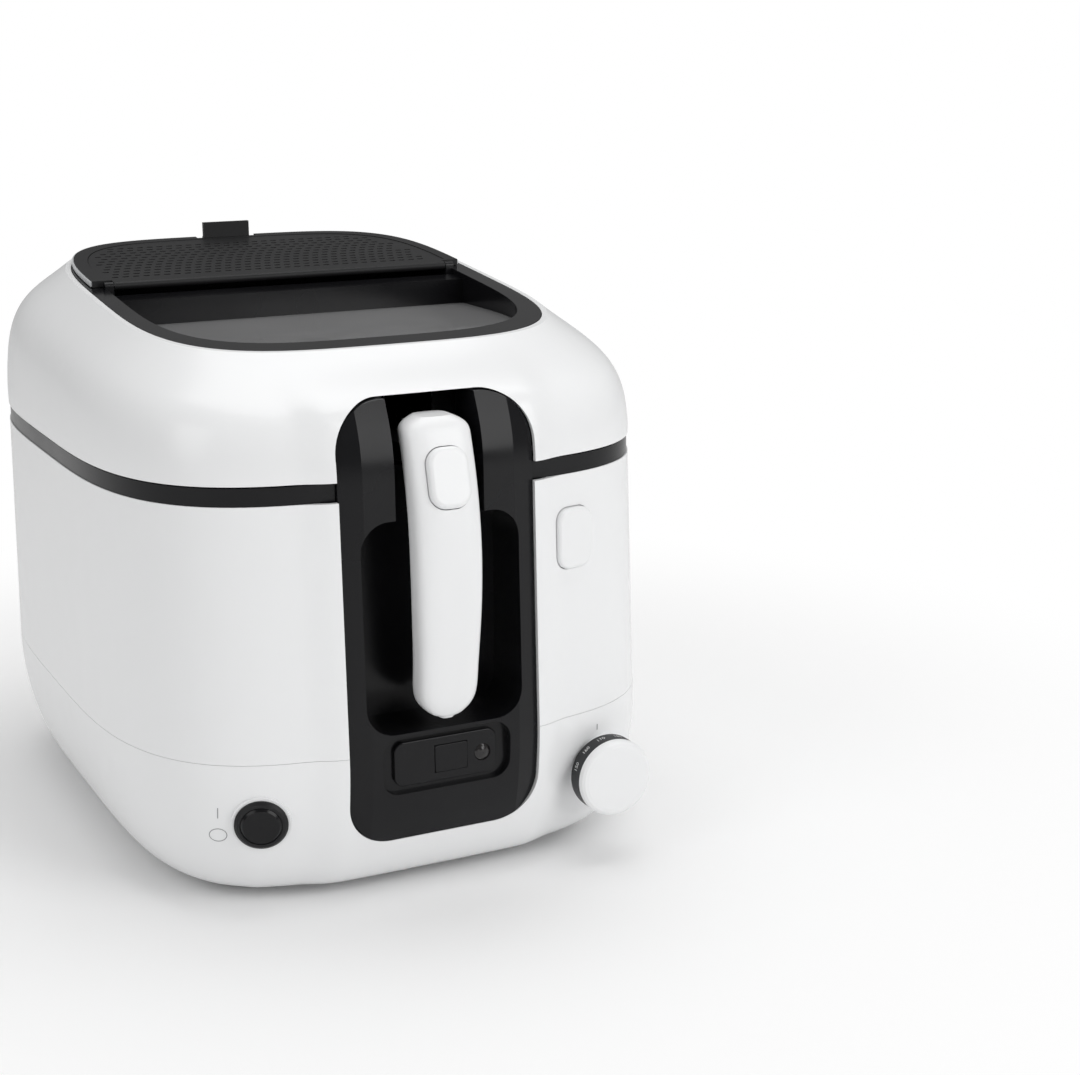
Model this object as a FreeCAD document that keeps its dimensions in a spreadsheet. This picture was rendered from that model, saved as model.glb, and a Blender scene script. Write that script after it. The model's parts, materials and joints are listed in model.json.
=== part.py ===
import FreeCAD, Part
import math
import os
import re
from types import SimpleNamespace

import Sketcher
from FreeCAD import Placement, Rotation, Vector

# Deep fryer with a hinged lid, a lifting basket and a folding handle, in millimetres.
# +Z is up, the handle faces -Y, and the origin is under the middle of the whole object.

# Driving sizes: name, value and what it measures.
SIZES = """
half_width 140 half width of the body at the collar
half_depth 177.4 half depth of the body at the collar
seam_half_width 142.3 half width at the seam between casing and base
seam_half_depth 180.5 half depth at the seam
plan_power 3.75 squareness of the plan outline
base_edge_z 5 height of the base shell's lower edge
seam_z 76.6 height of the seam
seam_gap 0.2 open line at the seam
collar_z 198 height of the collar's lower edge
collar_height 8.6 height of the black collar
collar_inset 0.6 how far the collar stands back from the white shells
wall 2.6 thickness of the white shells
base_inset 26.6 how far the base shell draws in at the floor
base_round 1.84 roundness of the base shell's lower edge
base_power 4.35 squareness of the base outline at the floor
base_lip 24 width of the base shell's lower lip
lid_gap 0.8 open line under the lid
ring_half_width 109.8 half width of the lid's top edge
ring_half_depth 130.4 half depth of the lid's top edge
ring_power 3.65 squareness of the lid's top edge
ring_y -1.5 middle of the lid's top edge
ring_z 273.5 height of the lid's top edge at its middle
ring_slope 0.105 rise of the lid's top towards the rear
lid_rise 0.725 share of the lid's height where its side starts to bend
lid_bend 0.349 share of the lid's inset at its shoulder
lid_crown 0.713 share of the lid's height at its shoulder
frame_depth 4 depth of the recess that holds the lid frame
frame_seat 7 width of the ledge that carries the lid frame
frame_gap 0.4 clearance around the lid frame
well_side 12.3 width of the frame beside the window
well_end 17.4 width of the frame in front of the window
window_z 258 height of the window's face
window_thick 3 thickness of the window
window_ledge 4 width of the ledge under the window
well_floor_z 250 height of the frame's lower edge
bar_front_y 5 front face of the frame's crossbar
bar_drop 3 depth of the crossbar below the frame's face
bar_width 13 depth of the crossbar from front to back
panel_half 49 half width of the front panel
panel_low 30 height of the panel's lower edge
panel_top 242 height of the panel's upper edge
panel_top_radius 24 radius of the panel's upper corners
panel_low_radius 22 radius of the panel's lower corners
panel_proud 4 how far the panel stands in front of the plan outline
panel_lean 9.5 how far the panel's upper edge leans back
panel_gap 0.25 clearance around the panel
crease_half 38 half width of the panel's flat middle
crease_depth 3.2 how far the panel's sides fall back
panel_back 31.5 depth of the panel behind its face
panel_wall 2.5 thickness of the panel's back wall
lip_proud 6 how far the lid's lip over the panel stands out
lip_fade 14 height of the lid's lip over the panel
flare_width 20 width of the soft lip beside the panel
channel_half 22.3 half width of the handle channel
recess_half 40 half width of the finger recess
recess_low 85 lower edge of the finger recess
recess_top 187 upper edge of the finger recess
recess_radius 14 corner radius of the finger recess
bay_width 66 width of the timer bay
bay_height 29 height of the timer bay
bay_z 69 middle height of the timer bay
bay_depth 3 depth of the timer bay
insert_width 53 width of the plate in the timer bay
insert_height 22 height of the plate in the timer bay
insert_thick 2.4 thickness of the plate in the timer bay
tile_width 16.6 width of the small tile
tile_height 13.4 height of the small tile
tile_x 2.6 place of the small tile from the middle
tile_proud 0.5 how far the tile stands out of the plate
lens_radius 4.2 radius of the lamp lens
lens_x 19 place of the lamp lens from the middle
bowl_half_width 122 half width of the oil bowl at its rim
bowl_half_depth 137 half depth of the oil bowl at its rim
bowl_taper 18 how far the bowl draws in at its floor
bowl_floor_z 76 height of the bowl's underside
bowl_wall 1.6 thickness of the bowl
bowl_flange 9 width of the bowl's flange
flange_drop 3.6 depth of the flange seat below the collar's top
basket_gap 13 clearance between bowl and basket at the rim
basket_taper 10 how far the basket draws in at its floor
basket_top 192 height of the basket's upper edge
basket_wall 1.4 thickness of the basket's mesh
basket_foot 6 height of the basket's feet
rim_height 3 height of the basket's rim wire
rim_width 3 width of the basket's rim wire
handle_low 90 height of the handle's lower tip
handle_top 233.5 height of the handle's upper end
handle_proud 15.6 how far the handle stands in front of the panel
handle_thick 20 thickness of the handle
handle_half 16.4 half width of the handle
handle_bow 14 how far the handle's upper end curves back
handle_bow_low 7 how far the handle's lower end curves back
pivot_drop 9.5 height of the handle's upper end above its pivot
pivot_back 2.5 place of the handle's pivot behind its middle
pin_radius 2 radius of the handle and lid hinge pins
run_gap 0.05 radial running clearance on pins and shafts
side_gap 0.4 side clearance between moving pieces
bracket_half 6 half width of the basket bracket
bracket_eye 5.5 radius of the bracket's eye
bracket_bar 8 height of the bracket's bar
press_width 20.5 width of the handle button
press_height 28.5 height of the handle button
press_proud 2.8 how far the handle button stands out
press_deep 5.8 how far the handle button reaches in
press_travel 2.5 travel of the handle button
press_drop 26.5 place of the handle button below the handle's top
release_width 21 width of the lid button
release_height 30 height of the lid button
release_x 72.6 place of the lid button from the middle
release_z 166.6 height of the lid button
release_proud 3 how far the lid button stands out
release_deep 7 how far the lid button reaches in
release_travel 3.5 travel of the lid button
knob_x 89 place of the knob from the middle
knob_z 44.5 height of the knob
knob_radius 19.4 radius of the knob
knob_depth 10.5 depth of the knob's dark ring
cap_depth 3.6 depth of the knob's white cap
shaft_radius 3 radius of the thermostat's shaft
power_x -88.8 place of the power switch from the middle
power_z 47.5 height of the power switch
power_radius 12.6 radius of the power switch's bezel
power_cap 9.6 radius of the power switch's cap
power_travel 2.5 travel of the power switch
foot_radius 9 radius of a foot
foot_x 86 place of a foot from the middle
foot_y 120 place of a foot from the middle, front and back
plate_thick 2.5 thickness of the base plate
plate_overlap 9 seat of the base plate on the lip
gland_z 32 height of the cord gland
gland_bore 3.6 radius of the cord's way through the gland
knuckle_radius 5 radius of the lid hinge's knuckles
hinge_back 1 place of the hinge axis behind the collar
hinge_half 23.5 half width of the lid's knuckle
knuckle_width 20 width of each knuckle on the collar
liner_thick 2.5 thickness of the lid's inner plate
liner_lift 4.4 height of the lid's inner plate above the collar
cover_proud 3.5 how far the filter cover stands above the frame
cover_side 5.2 width of the frame outside the filter cover
cover_border 6.8 width of the filter cover's border
barrel_radius 2.1 radius of the filter cover's rolled front edge
cover_pin_radius 1 radius of the filter cover's hinge pin
tab_width 27 width of the filter cover's tab
tab_height 8.5 height of the filter cover's tab
tab_thick 3 thickness of the filter cover's tab
grille_thick 2 thickness of the perforated plate
grille_step_x 5.6 spacing of the grille's holes from side to side
grille_step_y 6.4 spacing of the grille's rows
hole_length 3.6 length of a grille hole
hole_width 2.1 width of a grille hole
filter_thick 8 thickness of the grease filter
seat_gap 0.25 clearance between pieces that sit in one another
"""

doc = FreeCAD.newDocument("deep_fryer")
sheet = doc.addObject("Spreadsheet::Sheet", "Sizes")
aliases = []
for row, line in enumerate(SIZES.strip().splitlines(), 1):
    alias, value, words = line.split(" ", 2)
    sheet.set(f"A{row}", words)
    sheet.set(f"B{row}", value)
    sheet.setAlias(f"B{row}", alias)
    aliases.append(alias)
doc.recompute()
S = SimpleNamespace(**{alias: float(sheet.get(alias)) for alias in aliases})

PLAN_POINTS = 120
PLAN_START = 0.8 * math.pi
FRONT_WEIGHT = 2.5
COLLAR_TOP = S.collar_z + S.collar_height
LID_LOW = COLLAR_TOP + S.lid_gap
HINGE_Y = S.half_depth + S.hinge_back
HINGE_Z = COLLAR_TOP + S.lid_gap / 2
HANDLE_REACH = S.half_depth + S.panel_proud + S.handle_proud
BOW_SHARE = 0.52


def handle_front_y(share):
    """The handle's front at a share of its length from its lower tip."""
    if share > BOW_SHARE:
        return -HANDLE_REACH + S.handle_bow * ((share - BOW_SHARE) / (1 - BOW_SHARE)) ** 2
    return -HANDLE_REACH + S.handle_bow_low * ((BOW_SHARE - share) / BOW_SHARE) ** 2


# The handle button lies along the handle's front and decides how far the fryer reaches forward.
PRESS_EDGE = 2.4
press_share = 1 - S.press_drop / (S.handle_top - S.handle_low)
press_run = 0.02 * (S.handle_top - S.handle_low)
press_rise = (handle_front_y(press_share + 0.01) - handle_front_y(press_share - 0.01)) / press_run
press_normal = Vector(0, -1, press_rise).normalize()
press_point = Vector(0, handle_front_y(press_share), S.handle_top - S.press_drop)
PRESS_REACH = (PRESS_EDGE - press_point.y - press_normal.y * (S.press_proud - PRESS_EDGE)
               + press_normal.z * (S.press_height / 2 - PRESS_EDGE))
FRONT_REACH = max(HANDLE_REACH, PRESS_REACH)
REAR_REACH = max(HINGE_Y + S.knuckle_radius, S.seam_half_depth)
SHIFT = Placement(Vector(0, (FRONT_REACH - REAR_REACH) / 2, 0), Rotation())
UP = Vector(0, 0, 1)
nodes = []


def cells(text):
    """Expression text with each size's name turned into its cell."""
    return re.sub(r"[a-z_]+", lambda m: "Sizes." + m.group() if m.group() in aliases else m.group(), text)


def bind(obj, **sizes):
    for name, text in sizes.items():
        obj.setExpression(name, cells(text))
    return obj


def keep(label, obj, place=None):
    """Names a finished sub-part and puts it in its place in the fryer."""
    obj.Label = label
    obj.Placement = SHIFT.multiply(place or obj.Placement)
    nodes.append(obj)
    return obj


def feature(label, shape):
    obj = doc.addObject("Part::Feature", label)
    obj.Shape = shape
    return keep(label, obj)


def primitive(kind, name, place=None, **sizes):
    obj = bind(doc.addObject("Part::" + kind, name), **sizes)
    if place:
        obj.Placement = place
    return obj


def joined(kind, label, pieces):
    """A fuse or a cut of primitives, in order, as one sub-part."""
    result = pieces[0]
    for number, piece in enumerate(pieces[1:], 1):
        step = doc.addObject("Part::" + kind, f"{label}_{kind.lower()}_{number}")
        step.Base = result
        step.Tool = piece
        result = step
    return result


def origin_plane(body, role):
    return next(item for item in body.Origin.OriginFeatures if item.Role == role)


def profile(body, role, points):
    """A closed sketch of straight lines whose corners follow the sheet."""
    sketch = body.newObject("Sketcher::SketchObject", body.Name + "_profile")
    sketch.AttachmentSupport = (origin_plane(body, role), [""])
    sketch.MapMode = "FlatFace"
    count = len(points)
    turn = [0.7 + 2 * math.pi * i / count for i in range(count)]
    rough = [Vector(5 + 3 * math.cos(t), 5 + 3 * math.sin(t), 0) for t in turn]
    for i in range(count):
        sketch.addGeometry(Part.LineSegment(rough[i], rough[(i + 1) % count]), False)
    for i in range(count):
        sketch.addConstraint(Sketcher.Constraint("Coincident", i, 2, (i + 1) % count, 1))
    for i, point in enumerate(points):
        for kind, text in zip(("DistanceX", "DistanceY"), point):
            row = sketch.addConstraint(Sketcher.Constraint(kind, -1, 1, i, 1, 1.0 + i))
            sketch.setExpression(f"Constraints[{row}]", cells(text))
    return sketch


def turned(label, points, place):
    """A body turned about its own Z axis, from (radius, height) corners."""
    body = doc.addObject("PartDesign::Body", label)
    solid = body.newObject("PartDesign::Revolution", label + "_turn")
    sketch = profile(body, "XZ_Plane", points)
    solid.Profile = sketch
    solid.ReferenceAxis = (sketch, ["V_Axis"])
    solid.Angle = 360
    body.Tip = solid
    return keep(label, body, place)


def padded(label, points, height, place, role="XY_Plane"):
    """A body padded from a straight-sided outline."""
    body = doc.addObject("PartDesign::Body", label)
    solid = body.newObject("PartDesign::Pad", label + "_pad")
    solid.Profile = profile(body, role, points)
    bind(solid, Length=height)
    body.Tip = solid
    return keep(label, body, place)


def tablet(label, width, height, depth, radius, edge, place, pocket=None):
    """A rounded plate: its corners and its front edge are filleted."""
    body = doc.addObject("PartDesign::Body", label)
    half = [(f"{i}({width}) / 2", f"{j}({height}) / 2") for i,
            j in (("-", "-"), ("", "-"), ("", ""), ("-", ""))]
    pad = body.newObject("PartDesign::Pad", label + "_pad")
    pad.Profile = profile(body, "XY_Plane", half)
    bind(pad, Length=depth)
    body.Tip = pad
    doc.recompute()
    upright = [f"Edge{i}" for i, e in enumerate(pad.Shape.Edges, 1)
               if abs(e.tangentAt(e.FirstParameter).z) > 0.9]
    corner = body.newObject("PartDesign::Fillet", label + "_corner")
    corner.Base = (pad, upright)
    bind(corner, Radius=radius)
    body.Tip = corner
    doc.recompute()
    top = max(range(len(corner.Shape.Faces)), key=lambda i: corner.Shape.Faces[i].CenterOfMass.z)
    soft = body.newObject("PartDesign::Fillet", label + "_edge")
    soft.Base = (corner, [f"Face{top + 1}"])
    bind(soft, Radius=edge)
    body.Tip = soft
    if pocket:
        sketch = body.newObject("Sketcher::SketchObject", label + "_bore")
        sketch.AttachmentSupport = (origin_plane(body, "XY_Plane"), [""])
        sketch.MapMode = "FlatFace"
        sketch.addGeometry(Part.Circle(Vector(0, 0, 0), UP, 1), False)
        sketch.addConstraint(Sketcher.Constraint("Coincident", 0, 3, -1, 1))
        row = sketch.addConstraint(Sketcher.Constraint("Radius", 0, 1.0))
        sketch.setExpression(f"Constraints[{row}]", cells(pocket[0]))
        hollow = body.newObject("PartDesign::Pocket", label + "_pocket")
        hollow.Profile = sketch
        hollow.Reversed = True
        bind(hollow, Length=pocket[1])
        body.Tip = hollow
    return keep(label, body, place)


def facing(normal, up=UP):
    """The turn that points a piece's own Z along a normal, with its Y upwards."""
    right = up.cross(normal).normalize()
    return Rotation(right, normal.cross(right), normal, "ZXY")


# Outlines of the body, shared by every shell

def superellipse(a, b, power, count=PLAN_POINTS):
    """Points along a squared ellipse, closer together in the middle of its front."""
    fine = []
    for i in range(20 * count + 1):
        turn = PLAN_START + 2 * math.pi * i / (20 * count)
        c, s = math.cos(turn), math.sin(turn)
        fine.append((math.copysign(abs(c) ** (2 / power), c) * a,
                     math.copysign(abs(s) ** (2 / power), s) * b))
    run = [0.0]
    for (x0, y0), (x1, y1) in zip(fine, fine[1:]):
        weight = FRONT_WEIGHT if y0 < 0 and abs(x0) < 0.6 * a else 1
        run.append(run[-1] + weight * math.hypot(x1 - x0, y1 - y0))
    points = []
    spot = 0
    for i in range(count):
        while run[spot + 1] < run[-1] * i / count:
            spot += 1
        share = (run[-1] * i / count - run[spot]) / (run[spot + 1] - run[spot])
        (x0, y0), (x1, y1) = fine[spot], fine[spot + 1]
        points.append((x0 + (x1 - x0) * share, y0 + (y1 - y0) * share))
    return points


def spacing(points):
    """Evenly paced parameters along a closed outline, from 0 to 1."""
    run = [0.0]
    for i, p in enumerate(points):
        q = points[(i + 1) % len(points)]
        run.append(run[-1] + math.hypot(q[0] - p[0], q[1] - p[1]))
    return [step / run[-1] for step in run]


PLAN_PACE = spacing(superellipse(S.half_width, S.half_depth, S.plan_power))


def lip_share(x):
    """How much of the soft lip beside the panel is left at a distance from the middle."""
    share = min(max((abs(x) - S.panel_half) / S.flare_width, 0), 1)
    return (1 + math.cos(math.pi * share)) / 2


def ring(a, b, power, height, centre_y=0.0, flare=0.0):
    """A closed outline at a height that may depend on y."""
    points = []
    for x, y in superellipse(a, b, power):
        if y < 0:
            y -= flare * lip_share(x)
        y += centre_y
        points.append(Vector(x, y, height(y)))
    curve = Part.BSplineCurve()
    curve.interpolate(Points=points, PeriodicFlag=True, Parameters=PLAN_PACE)
    return Part.Wire([curve.toShape()])


def column(a, b, power, low, high, centre_y=0.0):
    return Part.Face(ring(a, b, power, lambda y: low, centre_y)).extrude(Vector(0, 0, high - low))


def block(x0, x1, y0, y1, z0, z1):
    return Part.makeBox(x1 - x0, y1 - y0, z1 - z0, Vector(x0, y0, z0))


def rod(radius, start, end):
    return Part.makeCylinder(radius, (end - start).Length, start, end - start)


def base_share(z):
    return min(max((S.seam_z - z) / (S.seam_z - S.base_edge_z), 0), 1)


def base_draw(z):
    """How far the base shell draws in at a height."""
    return S.base_inset * (1 - (1 - base_share(z) ** S.base_round) ** (1 / S.base_round))


def across(radius, x0, x1, y, z):
    """A round rod from side to side."""
    return rod(radius, Vector(x0, y, z), Vector(x1, y, z))


def body_size(z):
    """Half width, half depth and squareness of the body at a height."""
    if z <= S.seam_z:
        draw = base_draw(z)
        power = S.plan_power + (S.base_power - S.plan_power) * base_share(z)
        return S.seam_half_width - draw, S.seam_half_depth - draw, power
    share = min((z - S.seam_z) / (S.collar_z - S.seam_z), 1)
    a = S.seam_half_width + (S.half_width - S.seam_half_width) * share
    b = S.seam_half_depth + (S.half_depth - S.seam_half_depth) * share
    return a, b, S.plan_power


def wall_y(x, z):
    """The front wall's place at a distance from the middle and a height."""
    a, b, power = body_size(z)
    return -b * (1 - (abs(x) / a) ** power) ** (1 / power)


def wall_normal(x, z):
    step = 0.5
    side = Vector(2 * step, wall_y(x + step, z) - wall_y(x - step, z), 0)
    rise = Vector(0, wall_y(x, z + step) - wall_y(x, z - step), 2 * step)
    return side.cross(rise).normalize()


def panel_y(z):
    """The front panel's face at a height: it follows the wall, then curves back beside the lid."""
    rise = max(z - COLLAR_TOP, 0) / (S.panel_top - COLLAR_TOP)
    return S.panel_lean * rise ** 2 - body_size(min(z, S.collar_z))[1] - S.panel_proud


def body_ring(z, inset=0.0):
    a, b, power = body_size(z)
    return ring(a - inset, b - inset, power, lambda y: z, 0, S.panel_proud)


def top_z(y):
    """Height of the lid's top plane."""
    return S.ring_z + S.ring_slope * (y - S.ring_y)


def slab(a, b, power, drop, height, centre_y=None):
    """A plate under the lid's top plane, with upright sides."""
    centre = S.ring_y if centre_y is None else centre_y
    return Part.Face(ring(a, b, power, lambda y: top_z(y) - drop, centre)).extrude(Vector(0, 0, -height))


def lid_ring(share, inset=0.0, drop=0.0, low=LID_LOW):
    """An outline of the lid between its lower edge (0) and its top edge (1)."""
    left = 1 - share
    k = 3 * left * share ** 2 * S.lid_bend + share ** 3
    w = 3 * left ** 2 * share * S.lid_rise + 3 * left * share ** 2 * S.lid_crown + share ** 3
    a = S.half_width + (S.ring_half_width - S.half_width) * k - inset
    b = S.half_depth + (S.ring_half_depth - S.half_depth) * k - inset
    power = S.plan_power + (S.ring_power - S.plan_power) * k
    centre = S.ring_y * k

    def height(y):
        return low + w * (top_z(y) - drop - low)

    front_z = height(centre - b)
    fade = min(max((front_z - S.panel_top) / S.lip_fade, 0), 1)
    flare = min(max(-panel_y(front_z) - (b + inset - centre), 0), S.lip_proud)
    flare *= (1 + math.cos(math.pi * fade)) / 2
    return ring(a, b, power, height, centre, flare)


def loft(rings, ruled=False):
    return Part.makeLoft(rings, True, ruled)


def rounded_wire(half, low, high, low_radius, high_radius, y):
    """A rounded rectangle in the XZ plane, from lines and quarter arcs."""
    slant = math.sqrt(0.5)
    edges = []
    corners = ((half, low, 1, -1, low_radius), (half, high, 1, 1, high_radius),
               (-half, high, -1, 1, high_radius), (-half, low, -1, -1, low_radius))
    stops = []
    for number, (x, z, sx, sz, r) in enumerate(corners):
        middle = Vector(x - sx * r, y, z - sz * r)
        upright = middle + Vector(sx * r, 0, 0)
        level = middle + Vector(0, 0, sz * r)
        start, end = (level, upright) if number % 2 == 0 else (upright, level)
        stops.append((start, middle + Vector(sx * r * slant, 0, sz * r * slant), end))
    for number, (start, through, end) in enumerate(stops):
        edges.append(Part.Arc(start, through, end).toShape())
        edges.append(Part.LineSegment(end, stops[(number + 1) % 4][0]).toShape())
    return Part.Wire(edges)


def rounded_prism(half, low, high, low_radius, high_radius, y0, y1):
    wire = rounded_wire(half, low, high, low_radius, high_radius, y0)
    return Part.Face(wire).extrude(Vector(0, y1 - y0, 0))


def panel_prism(gap, y0, y1):
    return rounded_prism(S.panel_half + gap, S.panel_low - gap, S.panel_top + gap,
                         S.panel_low_radius + gap, S.panel_top_radius + gap, y0, y1)


PANEL_BACK = -(S.half_depth + S.panel_proud - S.panel_back)
FAR_FRONT = -(FRONT_REACH + 20)


# Front controls: where each sits on the wall and which way it faces

class Seat:
    """A place on the front wall with its outward direction."""

    def __init__(self, x, z, normal=None):
        self.point = Vector(x, wall_y(x, z), z)
        self.normal = normal or wall_normal(x, z)
        self.turn = facing(self.normal)

    def at(self, out):
        """A piece's place whose own origin stands out from the wall."""
        return Placement(self.point + self.normal * out, self.turn)

    def box(self, half, depth_near, depth_far, low, high):
        """A box behind the wall, in the seat's own directions."""
        solid = block(-half, half, low, high, -depth_far, -depth_near)
        solid.Placement = Placement(self.point, self.turn)
        return solid

    def rod(self, radius, out_from, out_to):
        return rod(radius, self.point + self.normal * out_from, self.point + self.normal * out_to)


power = Seat(S.power_x, S.power_z)
release_level = wall_normal(S.release_x, S.release_z)
release = Seat(S.release_x, S.release_z, Vector(release_level.x, release_level.y, 0).normalize())
KNOB_SEAT_Y = wall_y(S.knob_x - S.knob_radius, S.knob_z) - 1
THERMOSTAT_RADIUS = 11.0
KNOB_BACK_Y = wall_y(S.knob_x + THERMOSTAT_RADIUS, S.knob_z - THERMOSTAT_RADIUS) + S.wall + 2
knob_axis = Vector(0, -1, 0)
KNOB_BOSS = S.knob_radius - 1.5
NECK_RADIUS = S.shaft_radius + 2
POWER_TUBE = S.power_cap + 1.2
POWER_DEEP = 9.0
GLAND_FLANGE = S.gland_bore + 5.4
GLAND_TUBE = S.gland_bore + 2.4
GLAND_SEAT_Y = -wall_y(0, S.gland_z + GLAND_FLANGE) + 0.3
SLOT_HALF = 8.5
ARM_HALF = 6.0


# Base shell, casing and collar

LIP_TOP = S.base_edge_z + S.wall
BASE_LEVELS = [S.base_edge_z + (S.seam_z - S.base_edge_z) * i / 6 for i in range(7)]
FLOOR_A, FLOOR_B, FLOOR_POWER = body_size(S.base_edge_z)


def foot_places():
    return [(sx * S.foot_x, sy * S.foot_y) for sx in (-1, 1) for sy in (-1, 1)]


def screw_places():
    """Base screws: in from the lip's inner edge, between the feet."""
    x = FLOOR_A - S.base_lip + S.plate_overlap / 2
    y = FLOOR_B - S.base_lip + S.plate_overlap / 2
    return [(-x, -0.3 * y), (-x, 0.3 * y), (x, -0.3 * y), (x, 0.3 * y), (0, -y), (0, y)]


SCREW_SHANK = 1.45
SCREW_HEAD = 3.2
SCREW_HEAD_HIGH = 1.8
FOOT_STEM = 3.0

outer = loft([body_ring(z) for z in BASE_LEVELS])
inner_levels = [LIP_TOP] + [z for z in BASE_LEVELS if z > LIP_TOP + 4]
inner = loft([body_ring(z, S.wall)
              for z in inner_levels] + [body_ring(S.seam_z, S.wall).translated(Vector(0, 0, 2))])
base = outer.cut(inner)
base = base.fuse([
    rod(KNOB_BOSS, Vector(S.knob_x, KNOB_SEAT_Y, S.knob_z), Vector(S.knob_x, KNOB_BACK_Y, S.knob_z)),
    power.rod(S.power_radius + 1.5, 0.6, -6),
    rod(GLAND_FLANGE + 2, Vector(0, GLAND_SEAT_Y, S.gland_z), Vector(0, GLAND_SEAT_Y - 8, S.gland_z)),
])
holes = [column(FLOOR_A - S.base_lip, FLOOR_B - S.base_lip, FLOOR_POWER, 0, LIP_TOP),
         panel_prism(S.panel_gap, FAR_FRONT, PANEL_BACK),
         rod(NECK_RADIUS + S.run_gap, Vector(S.knob_x, KNOB_SEAT_Y - 1, S.knob_z),
             Vector(S.knob_x, 0, S.knob_z)),
         power.rod(POWER_TUBE + S.run_gap, 5, -20),
         rod(GLAND_TUBE + S.run_gap, Vector(0, 0, S.gland_z), Vector(0, REAR_REACH, S.gland_z))]
holes += [rod(FOOT_STEM + S.run_gap, Vector(x, y, 0), Vector(x, y, LIP_TOP + 1)) for x, y in foot_places()]
holes += [rod(SCREW_SHANK + 0.2, Vector(x, y, 0), Vector(x, y, LIP_TOP + 1)) for x, y in screw_places()]
feature("base_shell", base.cut(holes))

casing_low = S.seam_z + S.seam_gap
middle_z = (casing_low + S.collar_z) / 2
outer = loft([body_ring(z) for z in (casing_low, middle_z, S.collar_z)])
inner = loft([body_ring(z, S.wall) for z in (casing_low, middle_z, S.collar_z)])
release_hole = release.box(S.release_width / 2 + S.side_gap, -6, 8, -S.release_height / 2 - S.side_gap,
                           S.release_height / 2 + S.side_gap)
release_hole = release_hole.makeFillet(7 + S.side_gap,
                                       [e for e in release_hole.Edges
                                        if abs(e.tangentAt(e.FirstParameter).dot(release.normal)) > 0.9])
casing_room = inner
casing = outer.cut(inner).cut([panel_prism(S.panel_gap, FAR_FRONT, PANEL_BACK), release_hole])
feature("body_casing", casing)

FLANGE_Z = COLLAR_TOP - S.flange_drop
FLANGE_A = S.bowl_half_width + S.bowl_flange
FLANGE_B = S.bowl_half_depth + S.bowl_flange
collar = column(S.half_width - S.collar_inset, S.half_depth - S.collar_inset, S.plan_power, S.collar_z,
                COLLAR_TOP)
collar = collar.cut([
    column(FLANGE_A + S.seat_gap, FLANGE_B + S.seat_gap, S.plan_power, FLANGE_Z, COLLAR_TOP + 1),
    column(S.bowl_half_width + 1, S.bowl_half_depth + 1, S.plan_power, S.collar_z - 1, COLLAR_TOP + 1),
    panel_prism(S.panel_gap, FAR_FRONT, PANEL_BACK),
    release.box(SLOT_HALF, 2.2, 15, S.collar_z - S.release_z - 1, COLLAR_TOP - S.release_z + 1),
    across(S.knuckle_radius + 0.7, -S.hinge_half - S.side_gap, S.hinge_half + S.side_gap, HINGE_Y, HINGE_Z),
])
knuckle_in = S.hinge_half + S.side_gap
knuckle_out = knuckle_in + S.knuckle_width
collar = collar.fuse([across(S.knuckle_radius, side * knuckle_in, side * knuckle_out, HINGE_Y, HINGE_Z)
                      for side in (-1, 1)])
collar = collar.cut(across(S.pin_radius, -knuckle_out - 1, knuckle_out + 1, HINGE_Y, HINGE_Z))
feature("rim_band", collar)
hinge_rod = primitive("Cylinder", "hinge_pin_rod",
                      Placement(Vector(-knuckle_out, HINGE_Y, HINGE_Z), Rotation(Vector(0, 1, 0), 90)),
                      Radius="pin_radius", Height="2 * (hinge_half + side_gap + knuckle_width)")
keep("hinge_pin", hinge_rod)


# Front panel with its channel, finger recess and timer bay

def panel_section(z):
    y = panel_y(z)
    half = S.panel_half + 4
    slope = S.crease_depth / (S.panel_half - S.crease_half)
    edge = y + slope * (half - S.crease_half)
    plan = [(-half, edge), (-S.crease_half, y), (S.crease_half, y), (half, edge), (half, PANEL_BACK),
            (-half, PANEL_BACK)]
    return Part.makePolygon([Vector(x, v, z) for x, v in plan + plan[:1]])


panel_levels = [S.panel_low - 2] + [z for z in BASE_LEVELS if z > S.panel_low + 4]
panel_levels += [S.seam_z + (S.panel_top + 2 - S.seam_z) * i / 10 for i in range(1, 11)]
panel = loft([panel_section(z) for z in panel_levels]).common(panel_prism(0, FAR_FRONT, 0))
recess_back = PANEL_BACK - S.panel_wall
BAY_FLOOR = panel_y(S.bay_z - S.bay_height / 2) + S.bay_depth
LENS_Z = S.bay_z - 0.5
panel = panel.cut([
    rounded_prism(S.recess_half, S.recess_low, S.recess_top, S.recess_radius, S.recess_radius, FAR_FRONT,
                  recess_back),
    block(-S.channel_half, S.channel_half, FAR_FRONT, recess_back, S.recess_low + 20, S.panel_top + 10),
    block(-S.channel_half, S.channel_half, FAR_FRONT, 0, COLLAR_TOP, S.panel_top + 10),
    rounded_prism(S.bay_width / 2, S.bay_z - S.bay_height / 2, S.bay_z + S.bay_height / 2, 9, 9, FAR_FRONT,
                  BAY_FLOOR),
    block(-S.panel_half + 6, S.panel_half - 6, BAY_FLOOR + S.panel_wall, 0, S.panel_low + 8,
          S.recess_low - S.panel_wall),
    rod(S.lens_radius + S.run_gap, Vector(S.lens_x, FAR_FRONT, LENS_Z), Vector(S.lens_x, 0, LENS_Z)),
])
feature("front_panel", panel)

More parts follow.
